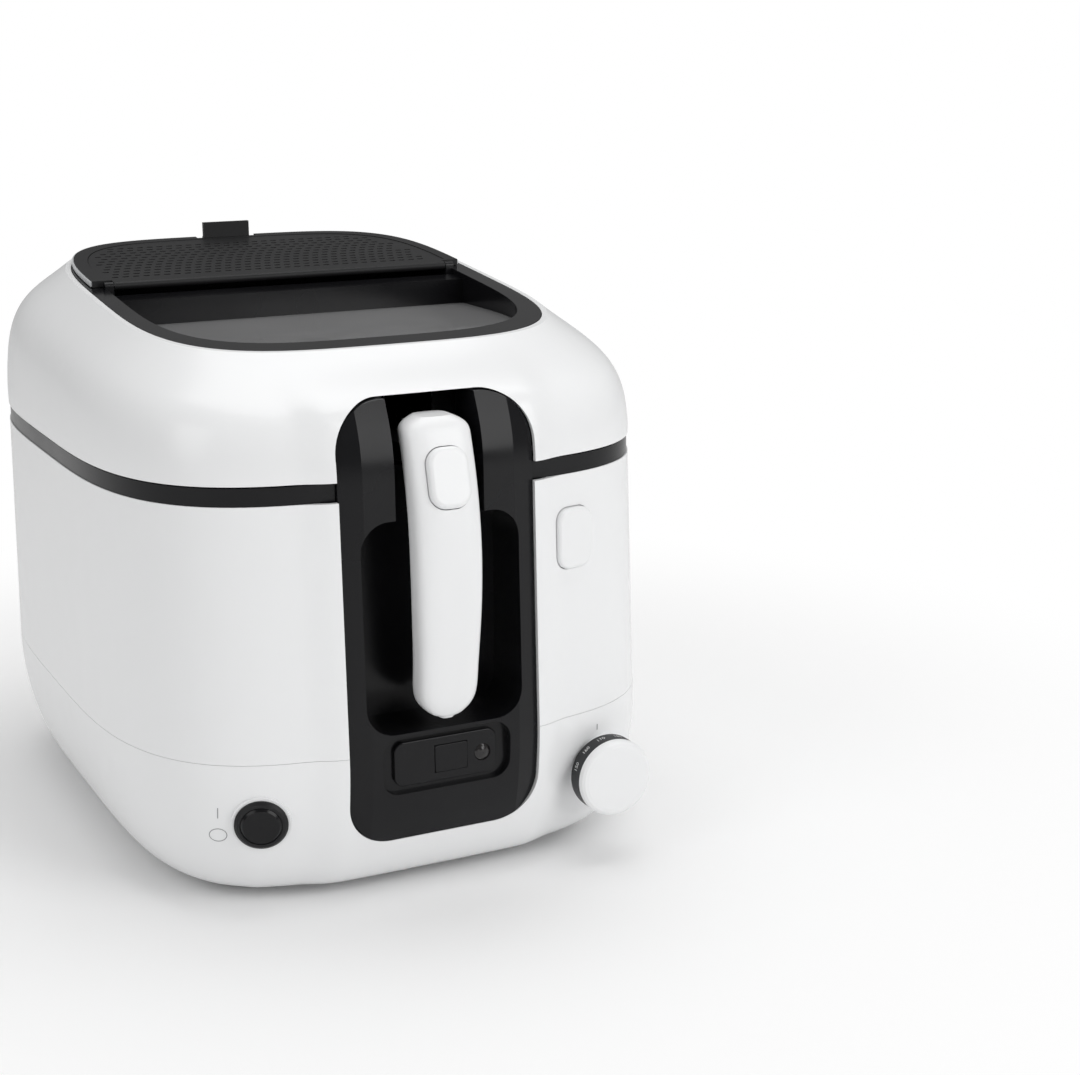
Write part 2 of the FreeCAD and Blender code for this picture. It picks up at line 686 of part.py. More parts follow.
forward = facing(Vector(0, -1, 0))
insert = tablet("timer_plate", "insert_width", "insert_height", "insert_thick", "5", "0.8", Placement())
nodes.remove(insert)
insert.Placement = Placement(Vector(0, BAY_FLOOR, S.bay_z), forward)
window = primitive("Box", "tile_window",
                   Placement(Vector(S.tile_x, BAY_FLOOR + 1, S.bay_z), forward).multiply(
    Placement(Vector(-S.tile_width / 2 - S.seat_gap, -S.tile_height / 2 - S.seat_gap, 0), Rotation())),
    Length="tile_width + 2 * seat_gap", Width="tile_height + 2 * seat_gap", Height="insert_thick + 4")
lamp_way = primitive("Cylinder", "lamp_way", Placement(Vector(S.lens_x, BAY_FLOOR + 1, LENS_Z), forward),
                     Radius="lens_radius + run_gap", Height="insert_thick + 4")
keep("timer_bay_insert", joined("Cut", "timer_bay_insert", [insert, window, lamp_way]))
tablet("blank_tile", "tile_width", "tile_height", "insert_thick + tile_proud", "0.8", "0.4",
       Placement(Vector(S.tile_x, BAY_FLOOR, S.bay_z), forward))
lens_place = Placement(Vector(S.lens_x, BAY_FLOOR + S.panel_wall, LENS_Z), forward)
turned("pilot_lamp_lens",
       [("0", "0"), ("lens_radius", "0"), ("lens_radius", "panel_wall + insert_thick - 0.4"),
                           ("lens_radius * 0.7", "panel_wall + insert_thick + 0.5"),
                           ("lens_radius * 0.35", "panel_wall + insert_thick + 0.9"),
                           ("0", "panel_wall + insert_thick + 1")], lens_place)
turned("pilot_lamp", [("0", "-14"), ("lens_radius - 1", "-14"), ("lens_radius - 1", "-seat_gap"),
                      ("0", "-seat_gap")], lens_place)


# Underside: plate, feet and screws

PLATE_TOP = LIP_TOP + S.plate_thick
plate = column(FLOOR_A - S.base_lip + S.plate_overlap, FLOOR_B - S.base_lip + S.plate_overlap, FLOOR_POWER,
               LIP_TOP, PLATE_TOP)
SHIELD_Z = S.bowl_floor_z - 20
POST = [(sx * 0.55 * S.bowl_half_width, sy * 0.5 * S.bowl_half_depth) for sx in (-1, 1) for sy in (-1, 1)]
BOSS_HIGH = 8.0
plate = plate.fuse([rod(4, Vector(x, y, LIP_TOP), Vector(x, y, SHIELD_Z)) for x, y in POST]
                   + [rod(4, Vector(x, y, LIP_TOP), Vector(x, y, PLATE_TOP + BOSS_HIGH)) for x,
                      y in screw_places()])
vents = [block(-20, 20, y - 2, y + 2, 0, PLATE_TOP + 1) for y in (-40, -28, -16, 16, 28, 40)]
pilots = [rod(SCREW_SHANK + S.run_gap, Vector(x, y, 0), Vector(x, y, PLATE_TOP + BOSS_HIGH - 1)) for x,
          y in screw_places()]
feature("base_plate", plate.cut(vents + pilots))
foot_shape = rod(S.foot_radius, Vector(0, 0, 0), Vector(0, 0, S.base_edge_z))
foot_shape = foot_shape.makeFillet(1, [e for e in foot_shape.Edges if e.BoundBox.ZMax < 0.1])
foot_shape = foot_shape.fuse(rod(FOOT_STEM, Vector(0, 0, S.base_edge_z - 1), Vector(0, 0, LIP_TOP - 0.3)))
feature("feet", Part.makeCompound([foot_shape.translated(Vector(x, y, 0)) for x, y in foot_places()]))
screw = rod(SCREW_HEAD, Vector(0, 0, S.base_edge_z - SCREW_HEAD_HIGH), Vector(0, 0, S.base_edge_z))
screw = screw.fuse(rod(SCREW_SHANK, Vector(0, 0, S.base_edge_z), Vector(0, 0, PLATE_TOP + BOSS_HIGH - 1.5)))
feature("base_screws", Part.makeCompound([screw.translated(Vector(x, y, 0)) for x, y in screw_places()]))


# Oil bowl and what heats it

def bowl_ring(z, inset=0.0):
    share = min(max((z - S.bowl_floor_z) / (FLANGE_Z - S.bowl_floor_z), 0), 1)
    draw = S.bowl_taper * (1 - share ** 0.35)
    return ring(S.bowl_half_width - draw - inset, S.bowl_half_depth - draw - inset, S.plan_power,
                lambda y: z)


bowl_levels = [S.bowl_floor_z + (FLANGE_Z - S.bowl_floor_z) * t for t in (0, 0.04, 0.12, 0.35, 0.7)]
bowl_levels += [FLANGE_Z, FLANGE_Z + S.bowl_wall]
bowl_floor = S.bowl_floor_z + S.bowl_wall
bowl = loft([bowl_ring(z) for z in bowl_levels], True)
bowl = bowl.fuse(column(FLANGE_A, FLANGE_B, S.plan_power, FLANGE_Z, FLANGE_Z + S.bowl_wall))
hollow_levels = [z for z in bowl_levels if z > bowl_floor + 1] + [FLANGE_Z + 5]
hollow_foot = bowl_ring(S.bowl_floor_z, S.bowl_wall).translated(Vector(0, 0, S.bowl_wall))
bowl = bowl.cut(loft([hollow_foot] + [bowl_ring(z, S.bowl_wall) for z in hollow_levels], True))
feature("oil_bowl", bowl)

ELEMENT_TUBE = 4.0
ELEMENT_Z = S.bowl_floor_z - ELEMENT_TUBE - 0.2
element = [primitive("Torus", "element_loop", Placement(Vector(0, 0, ELEMENT_Z), Rotation(UP, -75)),
                     Radius1="bowl_half_width * 0.58", Radius2="4", Angle3="330")]
for turn in (-75, 255):
    reach = 0.58 * S.bowl_half_width
    foot = Vector(reach * math.cos(math.radians(turn)), reach * math.sin(math.radians(turn)), ELEMENT_Z - 9)
    element.append(primitive("Cylinder", f"element_end_{len(element)}", Placement(foot, Rotation()),
                             Radius="4", Height="9"))
keep("heating_element", joined("Fuse", "heating_element", element))
padded("heat_shield", [("-bowl_half_width * 0.75", "-bowl_half_depth * 0.7"),
                       ("bowl_half_width * 0.75", "-bowl_half_depth * 0.7"),
                       ("bowl_half_width * 0.75", "bowl_half_depth * 0.7"),
                       ("-bowl_half_width * 0.75", "bowl_half_depth * 0.7")],
       "1.2", Placement(Vector(0, 0, SHIELD_Z), Rotation()))

THERMOSTAT_LONG = 22.0
knob_turn = facing(knob_axis)
thermostat = rod(THERMOSTAT_RADIUS, Vector(S.knob_x, KNOB_BACK_Y, S.knob_z),
                 Vector(S.knob_x, KNOB_BACK_Y + THERMOSTAT_LONG, S.knob_z))
thermostat = thermostat.fuse(rod(NECK_RADIUS, Vector(S.knob_x, KNOB_SEAT_Y, S.knob_z),
                                 Vector(S.knob_x, KNOB_BACK_Y + 1, S.knob_z)))
thermostat = thermostat.cut(rod(S.shaft_radius + S.run_gap, Vector(S.knob_x, KNOB_SEAT_Y - 1, S.knob_z),
                                Vector(S.knob_x, KNOB_BACK_Y + 14, S.knob_z)))
feature("thermostat_body", thermostat)

BULB_RADIUS = 3.0
CAPILLARY = 1.0
bulb_z = S.bowl_floor_z - BULB_RADIUS - 0.2
low_z = SHIELD_Z + 6
back_y = KNOB_BACK_Y + THERMOSTAT_LONG
out_y = -0.7 * S.bowl_half_depth - 8


def bent_tube(points, radius, bend):
    """A tube along straight runs with round bends between them."""
    edges = []
    start = points[0]
    for before, corner, after in zip(points, points[1:], points[2:]):
        to_start = (before - corner).normalize()
        to_end = (after - corner).normalize()
        first, last = corner + to_start * bend, corner + to_end * bend
        middle = corner + (to_start + to_end) * bend
        through = middle - (to_start + to_end).normalize() * bend
        edges += [Part.LineSegment(start, first).toShape(), Part.Arc(first, through, last).toShape()]
        start = last
    edges.append(Part.LineSegment(start, points[-1]).toShape())
    path = Part.Wire(edges)
    ring_edge = Part.makeCircle(radius, points[0], points[1] - points[0])
    return path.makePipeShell([Part.Wire([ring_edge])], True, False)


route = [Vector(30, 0, bulb_z), Vector(48, 0, bulb_z), Vector(48, 0, low_z), Vector(48, out_y, low_z),
         Vector(48, out_y, S.knob_z), Vector(S.knob_x, out_y, S.knob_z),
         Vector(S.knob_x, back_y + 0.2, S.knob_z)]
bulb = across(BULB_RADIUS, -30, 30.5, 0, bulb_z).fuse(bent_tube(route, CAPILLARY, 4))
feature("thermostat_bulb", bulb)
turned("thermal_cutout", [("0", "-8"), ("7", "-8"), ("7", "-3"), ("9", "-3"), ("9", "-0.2"), ("0", "-0.2")],
       Placement(Vector(-25, -35, S.bowl_floor_z), Rotation()))
keep("terminal_block", primitive("Box", "terminal_box", Placement(Vector(-16, 62, PLATE_TOP), Rotation()),
                                 Length="32", Width="18", Height="14"))
turned("cord_gland", [("gland_bore", "-12"), ("gland_bore + 2.4", "-12"), ("gland_bore + 2.4", "0"),
                      ("gland_bore + 5.4", "0"),
                      ("gland_bore + 4.4", "3"), ("gland_bore", "4")],
       Placement(Vector(0, GLAND_SEAT_Y, S.gland_z), facing(Vector(0, 1, 0))))


# Power switch

turned("switch_bezel", [("power_cap + 0.3", "-9"), ("power_cap + 1.2", "-9"), ("power_cap + 1.2", "0.6"),
                        ("power_radius", "0.6"),
                        ("power_radius", "1.6"), ("power_radius - 1.2", "2.6"), ("power_cap + 0.3", "2.6")],
                        power.at(0))
turned("switch_body", [("0", "-30"), ("power_cap", "-30"), ("power_cap", "-12"), ("power_cap + 1", "-12"),
                       ("power_cap + 1", "-9.2"),
                       ("0", "-9.2")], power.at(0))
turned("switch_cap", [("0", "-5"), ("power_cap", "-5"), ("power_cap", "2.6"), ("power_cap - 1", "3.6"),
                      ("power_cap * 0.5", "3.2"),
                      ("0", "3")], power.at(0))


# Thermostat knob

knob_place = Placement(Vector(S.knob_x, KNOB_SEAT_Y, S.knob_z), knob_turn)
turned("knob_ring", [("shaft_radius", "0.8"), ("knob_radius - 0.6", "0.8"), ("knob_radius", "2"),
                     ("knob_radius", "knob_depth"),
                     ("shaft_radius", "knob_depth")], knob_place)
turned("knob_cap", [("0", "knob_depth"), ("knob_radius + 0.1", "knob_depth"),
                    ("knob_radius + 0.1", "knob_depth + 1.2"),
                    ("knob_radius - 0.4", "knob_depth + cap_depth - 1.2"),
                    ("knob_radius - 1.6", "knob_depth + cap_depth - 0.3"),
                    ("knob_radius - 3.4", "knob_depth + cap_depth"), ("0", "knob_depth + cap_depth")],
                    knob_place)
shaft_deep = KNOB_BACK_Y + 13 - KNOB_SEAT_Y
shaft = rod(S.shaft_radius, Vector(S.knob_x, KNOB_SEAT_Y - S.knob_depth, S.knob_z),
            Vector(S.knob_x, KNOB_SEAT_Y + shaft_deep, S.knob_z))
feature("thermostat_shaft", shaft)


# Lid release: button, latch arm, guide and spring

SPRING_RADIUS = 3.4
SPRING_WALL = 0.8
tablet("lid_button", "release_width", "release_height", "release_deep + release_proud", "7", "2",
       release.at(-S.release_deep),
       ("4.2", "release_deep - 1"))
CATCH_NEAR, CATCH_FAR = 4.2, 6.0
ARM_NEAR, ARM_FAR = S.release_deep, S.release_deep + 2.4
arm_top = COLLAR_TOP - S.release_z - 1.5
arm = release.box(ARM_HALF, ARM_NEAR, ARM_FAR, 5.5, arm_top)
arm = arm.fuse(release.box(ARM_HALF, CATCH_FAR + 0.35, ARM_NEAR + 0.5, arm_top - 4, arm_top))
feature("latch_arm", arm)
GUIDE_BACK = ARM_FAR + S.release_travel + 2.5
guide_half = S.release_width / 2 + 3
guide = release.box(guide_half, 0, GUIDE_BACK + 2, -S.release_height / 2 - 3, 4.5)
guide = guide.cut(release.box(guide_half - 2, 0, GUIDE_BACK, -S.release_height / 2 - 1, 6))
feature("latch_guide", guide.common(casing_room))
spring_end = 2.0 + S.release_travel
spring = release.rod(SPRING_RADIUS, -spring_end,
                     -GUIDE_BACK).cut(release.rod(SPRING_RADIUS - SPRING_WALL, 0, -GUIDE_BACK - 1))
feature("latch_spring", spring)


# Lid: shell, frame, window, liner and seals

SHARES = [i / 8 for i in range(9)]
shell = loft([lid_ring(t) for t in SHARES])
cavity = loft([lid_ring(0, S.wall, 0, LID_LOW - 2)] + [lid_ring(t, S.wall, S.frame_depth + S.wall)
                                                       for t in SHARES])
seat_a = S.ring_half_width - S.wall
seat_b = S.ring_half_depth - S.wall
open_a, open_b = seat_a - S.frame_seat, seat_b - S.frame_seat
shell = shell.cut([cavity, slab(seat_a, seat_b, S.ring_power, -5, S.frame_depth + 5),
                   slab(open_a, open_b, S.ring_power, 0, 40),
                   panel_prism(S.lid_gap, FAR_FRONT, -S.bowl_half_depth),
                   block(-S.panel_half - S.lid_gap, S.panel_half + S.lid_gap, FAR_FRONT, -S.bowl_half_depth,
                         LID_LOW - 5, COLLAR_TOP + 10),
                   across(S.knuckle_radius + 0.7, -knuckle_out - 1, knuckle_out + 1, HINGE_Y, HINGE_Z)])
feature("lid_shell", shell)

well_a = S.ring_half_width - S.well_side
well_b = S.ring_half_depth - S.well_end
bar_back_y = S.bar_front_y + S.bar_width
skirt = 2.2


def well(grow, low, high):
    return column(well_a + grow, well_b + grow, S.ring_power, low, high, S.ring_y)


wide = S.half_width + 50
ahead = block(-wide, wide, -wide * 2, S.bar_front_y, 0, 2 * S.ring_z)
behind = block(-wide, wide, bar_back_y, wide * 2, 0, 2 * S.ring_z)
frame_body = slab(seat_a - S.frame_gap, seat_b - S.frame_gap, S.ring_power, 0, S.frame_depth)
under = slab(seat_a, seat_b, S.ring_power, S.frame_depth - 0.5, 60)
frame_body = frame_body.fuse(well(skirt, S.well_floor_z, S.ring_z * 2).common(under))
window_low = S.window_z - S.window_thick
FLOOR_Z = S.well_floor_z + 3
frame_body = frame_body.cut([
    well(0, window_low, 2 * S.ring_z).common(ahead),
    well(-S.window_ledge, 0, 2 * S.ring_z).common(block(-wide, wide, -wide * 2,
                                                        S.bar_front_y - S.window_ledge, 0, 2 * S.ring_z)),
    well(0, FLOOR_Z, 2 * S.ring_z).common(behind),
    slab(well_a, well_b, S.ring_power, -5,
         S.bar_drop + 5).common(block(-wide, wide, S.bar_front_y - 1, bar_back_y + 1, 0, 2 * S.ring_z)),
])
steam = [block(x - 8, x + 8, y - 3, y + 3, 0, FLOOR_Z + 1) for x in (-60, -36, -12, 12, 36, 60)
         for y in (40, 58, 76, 94)]
frame_body = frame_body.cut(steam)
AXIS_Y = bar_back_y + S.barrel_radius + 1.2
AXIS_Z = top_z(AXIS_Y) + S.cover_proud - S.barrel_radius
BARREL_HALF = well_a - 4
lug = []
for side in (-1, 1):
    x0, x1 = sorted((side * (BARREL_HALF + S.side_gap), side * (well_a + 1)))
    lug.append(block(x0, x1, AXIS_Y - S.barrel_radius, AXIS_Y + S.barrel_radius,
                     top_z(AXIS_Y) - S.frame_depth, AXIS_Z))
    lug.append(across(S.barrel_radius, x0, x1, AXIS_Y, AXIS_Z))
frame_body = frame_body.fuse(lug)
PIN_HALF = BARREL_HALF + S.side_gap + 3
frame_body = frame_body.cut(across(S.cover_pin_radius, -PIN_HALF, PIN_HALF, AXIS_Y, AXIS_Z))
feature("lid_frame", frame_body)
keep("cover_pin", primitive("Cylinder", "cover_pin_rod",
                            Placement(Vector(-PIN_HALF, AXIS_Y, AXIS_Z), Rotation(Vector(0, 1, 0), 90)),
                            Radius="cover_pin_radius", Height=str(2 * PIN_HALF)))

SEAL = 1.0
glass = well(-S.seat_gap, window_low + SEAL,
             S.window_z).common(block(-wide, wide, -wide * 2, S.bar_front_y - S.seat_gap, 0, 2 * S.ring_z))
feature("viewing_window", glass)
seal = well(-S.seat_gap, window_low,
            window_low + SEAL).common(block(-wide, wide, -wide * 2, S.bar_front_y - S.seat_gap, 0,
                                            2 * S.ring_z))
seal = seal.cut(well(-S.window_ledge, 0,
                     2 * S.ring_z).common(block(-wide, wide, -wide * 2, S.bar_front_y - S.window_ledge, 0,
                                                2 * S.ring_z)))
feature("window_seal", seal)

LINER_Z = COLLAR_TOP + S.liner_lift
tunnel = block(-S.channel_half - 4, S.channel_half + 4, FAR_FRONT, -S.bowl_half_depth + 30, 0,
               S.panel_top + 5)
panel_way = block(-S.panel_half - 2, S.panel_half + 2, FAR_FRONT, PANEL_BACK + 2, 0, S.panel_top + 20)
liner = column(S.half_width - S.wall - 0.9, S.half_depth - S.wall - 0.9, S.plan_power, LINER_Z,
               LINER_Z + S.liner_thick)
liner = liner.fuse(well(0, LINER_Z, S.well_floor_z))
liner = liner.cut([well(-2, 0, 2 * S.ring_z), panel_way, tunnel])
feature("lid_liner", liner)
GASKET = 6.0
gasket_low = FLANGE_Z + S.bowl_wall + 0.3
mid_a, mid_b = S.bowl_half_width + S.bowl_flange / 2, S.bowl_half_depth + S.bowl_flange / 2
gasket = column(mid_a + GASKET / 2, mid_b + GASKET / 2, S.plan_power, gasket_low, LINER_Z)
gasket = gasket.cut([column(mid_a - GASKET / 2, mid_b - GASKET / 2, S.plan_power, 0, LINER_Z + 1), tunnel])
feature("lid_gasket", gasket)

filter_block = well(-1.5, FLOOR_Z,
                    FLOOR_Z + S.filter_thick).common(block(-wide, wide, bar_back_y + 1.5, wide, 0,
                                                           2 * S.ring_z))
feature("grease_filter", filter_block)
TONGUE = 2.6
LID_SCREW_HIGH = 1.4
arm = across(S.knuckle_radius, -S.hinge_half, S.hinge_half, HINGE_Y, HINGE_Z)
arm = arm.fuse(block(-S.hinge_half, S.hinge_half, HINGE_Y - 26, HINGE_Y, LINER_Z - TONGUE, LINER_Z))
arm = arm.cut(across(S.pin_radius + S.run_gap, -knuckle_out, knuckle_out, HINGE_Y, HINGE_Z))
feature("lid_hinge_arm", arm)
catch_low = S.collar_z - S.release_z + 1
feature("lid_catch", release.box(ARM_HALF - 0.5, CATCH_NEAR, CATCH_FAR, catch_low, LINER_Z - S.release_z))
lid_screw = rod(SCREW_HEAD, Vector(0, 0, LINER_Z - TONGUE - LID_SCREW_HIGH), Vector(0, 0, LINER_Z - TONGUE))
feature("lid_screws", Part.makeCompound([lid_screw.translated(Vector(x, HINGE_Y - 16, 0))
                                         for x in (-14, 14)]))


# Filter cover with its grille

cover_a = seat_a - S.frame_gap - S.cover_side + 2
cover_b = seat_b - S.frame_gap - 2
COVER_POWER = S.ring_power + 0.6
rear_half = block(-wide, wide, AXIS_Y, wide * 2, 0, 2 * S.ring_z)
cover = slab(cover_a, cover_b, COVER_POWER, -S.cover_proud, S.cover_proud - 0.3).common(rear_half)
inner_cover = slab(cover_a - S.cover_border, cover_b - S.cover_border, COVER_POWER, -S.cover_proud - 1,
                   S.cover_proud + 2)
lip_y = AXIS_Y + S.cover_border
cover = cover.cut(block(-cover_a, -BARREL_HALF, 0, AXIS_Y + 4, 0, 2 * S.ring_z)).cut(block(BARREL_HALF,
        cover_a, 0, AXIS_Y + 4, 0, 2 * S.ring_z))
cover = cover.fuse(across(S.barrel_radius, -BARREL_HALF, BARREL_HALF, AXIS_Y, AXIS_Z))
cover = cover.cut(inner_cover.common(block(-wide, wide, lip_y, wide * 2, 0, 2 * S.ring_z)))
tab_y = S.ring_y + cover_b - S.tab_thick - 1
tab_z = top_z(tab_y) + S.cover_proud
cover = cover.fuse(block(-S.tab_width / 2, S.tab_width / 2, tab_y, tab_y + S.tab_thick, tab_z - 3,
                         tab_z + S.tab_height))
cover = cover.cut(across(S.cover_pin_radius + S.run_gap, -wide, wide, AXIS_Y, AXIS_Z))
for side in (-1, 1):
    x0, x1 = sorted((side * (S.tab_width / 2 + 0.01), side * (S.tab_width / 2 + 4)))
    cover = cover.cut(block(x0, x1, S.ring_y + cover_b - 4, wide, 0, 2 * S.ring_z))
feature("filter_cover", cover)


def grille_plate():
    """The perforated plate: one face with staggered oval holes, given its thickness."""
    edge_a = cover_a - S.cover_border - S.seat_gap
    edge_b = cover_b - S.cover_border - S.seat_gap
    front = lip_y + S.seat_gap

    def height(y):
        return top_z(y) + S.cover_proud - 0.3

    outline = Part.Face(ring(edge_a, edge_b, COVER_POWER, height, S.ring_y))
    outline = outline.common(block(-wide, wide, front, wide * 2, 0, 2 * S.ring_z))
    edges = Part.Wire(Part.sortEdges(outline.Edges)[0])
    half = (S.hole_length - S.hole_width) / 2
    radius = S.hole_width / 2
    holes = []
    rows = int((S.ring_y + edge_b - front) / S.grille_step_y)
    for row in range(1, rows):
        y = front + S.grille_step_y * (row - 0.3)
        share = 1 - (abs(y - S.ring_y) / edge_b) ** COVER_POWER
        reach = edge_a * max(share, 0) ** (1 / COVER_POWER) - S.hole_length - 1.5
        columns = int(2 * reach / S.grille_step_x)
        drift = (row % 3) * S.grille_step_x / 3
        for number in range(columns):
            x = -reach + drift + number * S.grille_step_x
            if abs(x) > reach:
                continue
            tip = [Vector(x + sx * half, y + sy * radius, 0) for sx,
                   sy in ((-1, -1), (1, -1), (1, 1), (-1, 1))]
            side = [Vector(x + half + radius, y, 0), Vector(x - half - radius, y, 0)]
            spots = [Vector(p.x, p.y, height(p.y)) for p in tip + side]
            a, b, c, d, right, left = spots
            holes.append(Part.Wire([Part.LineSegment(a, b).toShape(), Part.Arc(b, right, c).toShape(),
                                    Part.LineSegment(c, d).toShape(), Part.Arc(d, left, a).toShape()]))
    plate_face = Part.makeFace([edges] + holes, "Part::FaceMakerBullseye")
    return plate_face.extrude(Vector(0, 0, -S.grille_thick))


feature("filter_grille", grille_plate())
TRIM = 0.8
trim_ring = slab(cover_a + TRIM, cover_b + TRIM, COVER_POWER, 0.5 - S.cover_proud, S.cover_proud - 1)
trim_ring = trim_ring.cut(slab(cover_a, cover_b, COVER_POWER, -S.cover_proud, S.cover_proud))
sides = [trim_ring.common(block(*sorted((side * 60, side * wide)), AXIS_Y + 5, S.ring_y + 0.9 * cover_b, 0,
                                2 * S.ring_z)) for side in (-1, 1)]
feature("cover_side_trims", Part.makeCompound([s.Solids[0] for s in sides]))


# Basket with its bracket

BASKET_A = S.bowl_half_width - S.basket_gap
BASKET_B = S.bowl_half_depth - S.basket_gap
basket_low = bowl_floor + S.basket_foot + 0.3


def basket_ring(z, inset=0.0):
    share = min(max((z - basket_low) / (S.basket_top - basket_low), 0), 1)
    draw = S.basket_taper * (1 - share ** 0.4)
    return ring(BASKET_A - draw - inset, BASKET_B - draw - inset, S.plan_power, lambda y: z)


basket_levels = [basket_low + (S.basket_top - basket_low) * t for t in (0, 0.05, 0.2, 0.6, 1)]
mesh = loft([basket_ring(z) for z in basket_levels], True)
hollow = [z for z in basket_levels if z > basket_low + 3] + [S.basket_top + 4]
hollow_foot = basket_ring(basket_low, S.basket_wall).translated(Vector(0, 0, S.basket_wall))
mesh = mesh.cut(loft([hollow_foot] + [basket_ring(z, S.basket_wall) for z in hollow], True))
feet = [rod(2, Vector(sx * 0.5 * BASKET_A, sy * 0.5 * BASKET_B, basket_low - S.basket_foot),
            Vector(sx * 0.5 * BASKET_A, sy * 0.5 * BASKET_B, basket_low + 0.5)) for sx in (-1, 1)
            for sy in (-1, 1)]
feature("basket_mesh", mesh.fuse(feet))
rim = column(BASKET_A + 0.8, BASKET_B + 0.8, S.plan_power, S.basket_top, S.basket_top + S.rim_height)
feature("basket_rim", rim.cut(column(BASKET_A + 0.8 - S.rim_width, BASKET_B + 0.8 - S.rim_width,
                                     S.plan_power, 0, 2 * S.basket_top)))

PIVOT_Z = S.handle_top - S.pivot_drop
handle_top_y = -HANDLE_REACH + S.handle_bow
PIVOT_Y = handle_top_y + S.handle_thick / 2 + S.pivot_back
BAR_LOW = COLLAR_TOP + 1.2
WEB = 0.8 * S.bracket_eye
rim_front = -(BASKET_B + 0.8)
bracket = across(S.bracket_eye, -S.bracket_half, S.bracket_half, PIVOT_Y, PIVOT_Z)
bracket = bracket.fuse(block(-S.bracket_half, S.bracket_half, PIVOT_Y - WEB, PIVOT_Y + WEB, BAR_LOW,
                             PIVOT_Z))
bracket = bracket.fuse(block(-S.bracket_half, S.bracket_half, PIVOT_Y - WEB, rim_front + S.rim_width + 6,
                             BAR_LOW, BAR_LOW + S.bracket_bar))
bracket = bracket.fuse(block(-S.bracket_half, S.bracket_half, rim_front + S.rim_width + 0.2,
                             rim_front + S.rim_width + 6, S.basket_top - 12, BAR_LOW + 1))
bracket = bracket.cut(across(S.pin_radius, -40, 40, PIVOT_Y, PIVOT_Z))
feature("basket_bracket", bracket)
keep("handle_pin", primitive("Cylinder", "handle_pin_rod",
                             Placement(Vector(-S.handle_half + 4, PIVOT_Y, PIVOT_Z),
                                       Rotation(Vector(0, 1, 0), 90)),
                             Radius="pin_radius", Height="2 * (handle_half - 4)"))


# Folding handle in two shells, with its button

def end_round(share):
    """How much of the full section is left near the handle's two ends."""
    near, power, least = (share / 0.1, 2.0, 0.25) if share < 0.5 else ((1 - share) / 0.06, 2.6, 0.5)
    return max((1 - (1 - min(near, 1)) ** power) ** (1 / power), least)


def handle_ring(share):
    z = S.handle_low + share * (S.handle_top - S.handle_low)
    left = end_round(share)
    half = S.handle_half * (0.86 + 0.14 * min(share / 0.45, 1)) * left
    deep = S.handle_thick / 2 * (0.45 + 0.55 * left)
    middle = handle_front_y(share) + S.handle_thick / 2
    points = [Vector(x, y + middle, z) for x, y in superellipse(half, deep, 3.4, 40)]
    curve = Part.BSplineCurve()
    pace = spacing(superellipse(S.handle_half, S.handle_thick / 2, 3.4, 40))
    curve.interpolate(Points=points, PeriodicFlag=True, Parameters=pace)
    return Part.Wire([curve.toShape()])


def split_section(share):
    z = S.handle_low + share * (S.handle_top - S.handle_low)
    y = handle_front_y(share) + S.handle_thick * 0.58
    plan = [(-40, y), (40, y), (40, y + 40), (-40, y + 40)]
    return Part.makePolygon([Vector(x, v, z) for x, v in plan + plan[:1]])


handle_shares = [0, 0.004, 0.012, 0.025, 0.045, 0.07, 0.1, 0.16, 0.3, 0.52, 0.7, 0.85, 0.935, 0.965, 0.985,
                 1]
whole = loft([handle_ring(t) for t in handle_shares])
split = loft([split_section(t) for t in (-0.02, 0.15, 0.35, 0.52, 0.75, 1.02)])
press_turn = facing(press_normal)
press_deep = S.press_deep + S.press_travel + 0.7
press_hole = block(-S.press_width / 2 - S.side_gap, S.press_width / 2 + S.side_gap,
                   -S.press_height / 2 - S.side_gap, S.press_height / 2 + S.side_gap, -press_deep, 20)
press_hole = press_hole.makeFillet(8 + S.side_gap,
                                   [e for e in press_hole.Edges
                                    if abs(e.tangentAt(e.FirstParameter).z) > 0.9])
press_hole.Placement = Placement(press_point, press_turn)
slot = block(-S.bracket_half - S.side_gap, S.bracket_half + S.side_gap, PIVOT_Y - S.bracket_eye - 0.6, 0,
             BAR_LOW - 8, PIVOT_Z + S.bracket_eye + 0.6)
pin_way = across(S.pin_radius + S.run_gap, -S.handle_half + 4, S.handle_half - 4, PIVOT_Y, PIVOT_Z)
screw_shares = (0.25, 0.42)
screw_ways, screws = [], []
for share in screw_shares:
    z = S.handle_low + share * (S.handle_top - S.handle_low)
    rear = handle_front_y(share) + S.handle_thick
    split_y = handle_front_y(share) + S.handle_thick * 0.58
    screw_ways += [rod(SCREW_HEAD + 0.2, Vector(0, rear - 3, z), Vector(0, rear + 5, z)),
                   rod(SCREW_SHANK + S.run_gap, Vector(0, split_y - 6, z), Vector(0, rear, z))]
    screws.append(rod(SCREW_HEAD, Vector(0, rear - 3, z),
                      Vector(0, rear - 1, z)).fuse(rod(SCREW_SHANK, Vector(0, split_y - 5.5, z),
                                                       Vector(0, rear - 3, z))))
ways = [press_hole, slot, pin_way] + screw_ways
feature("handle_front", whole.cut(split).cut(ways))
feature("handle_rear", whole.common(split).cut(ways))
feature("handle_screws", Part.makeCompound(screws))
tablet("handle_button", "press_width", "press_height", "press_deep + press_proud", "8", str(PRESS_EDGE),
       Placement(press_point - press_normal * S.press_deep, press_turn), ("4.2", "press_deep - 1"))
spring_top = press_point - press_normal * (1.4 + S.press_travel)
spring_foot = press_point - press_normal * press_deep
spring = rod(SPRING_RADIUS, spring_top,
             spring_foot).cut(rod(SPRING_RADIUS - SPRING_WALL, spring_top + press_normal,
                                  spring_foot - press_normal))
feature("handle_button_spring", spring)


# Checks and files

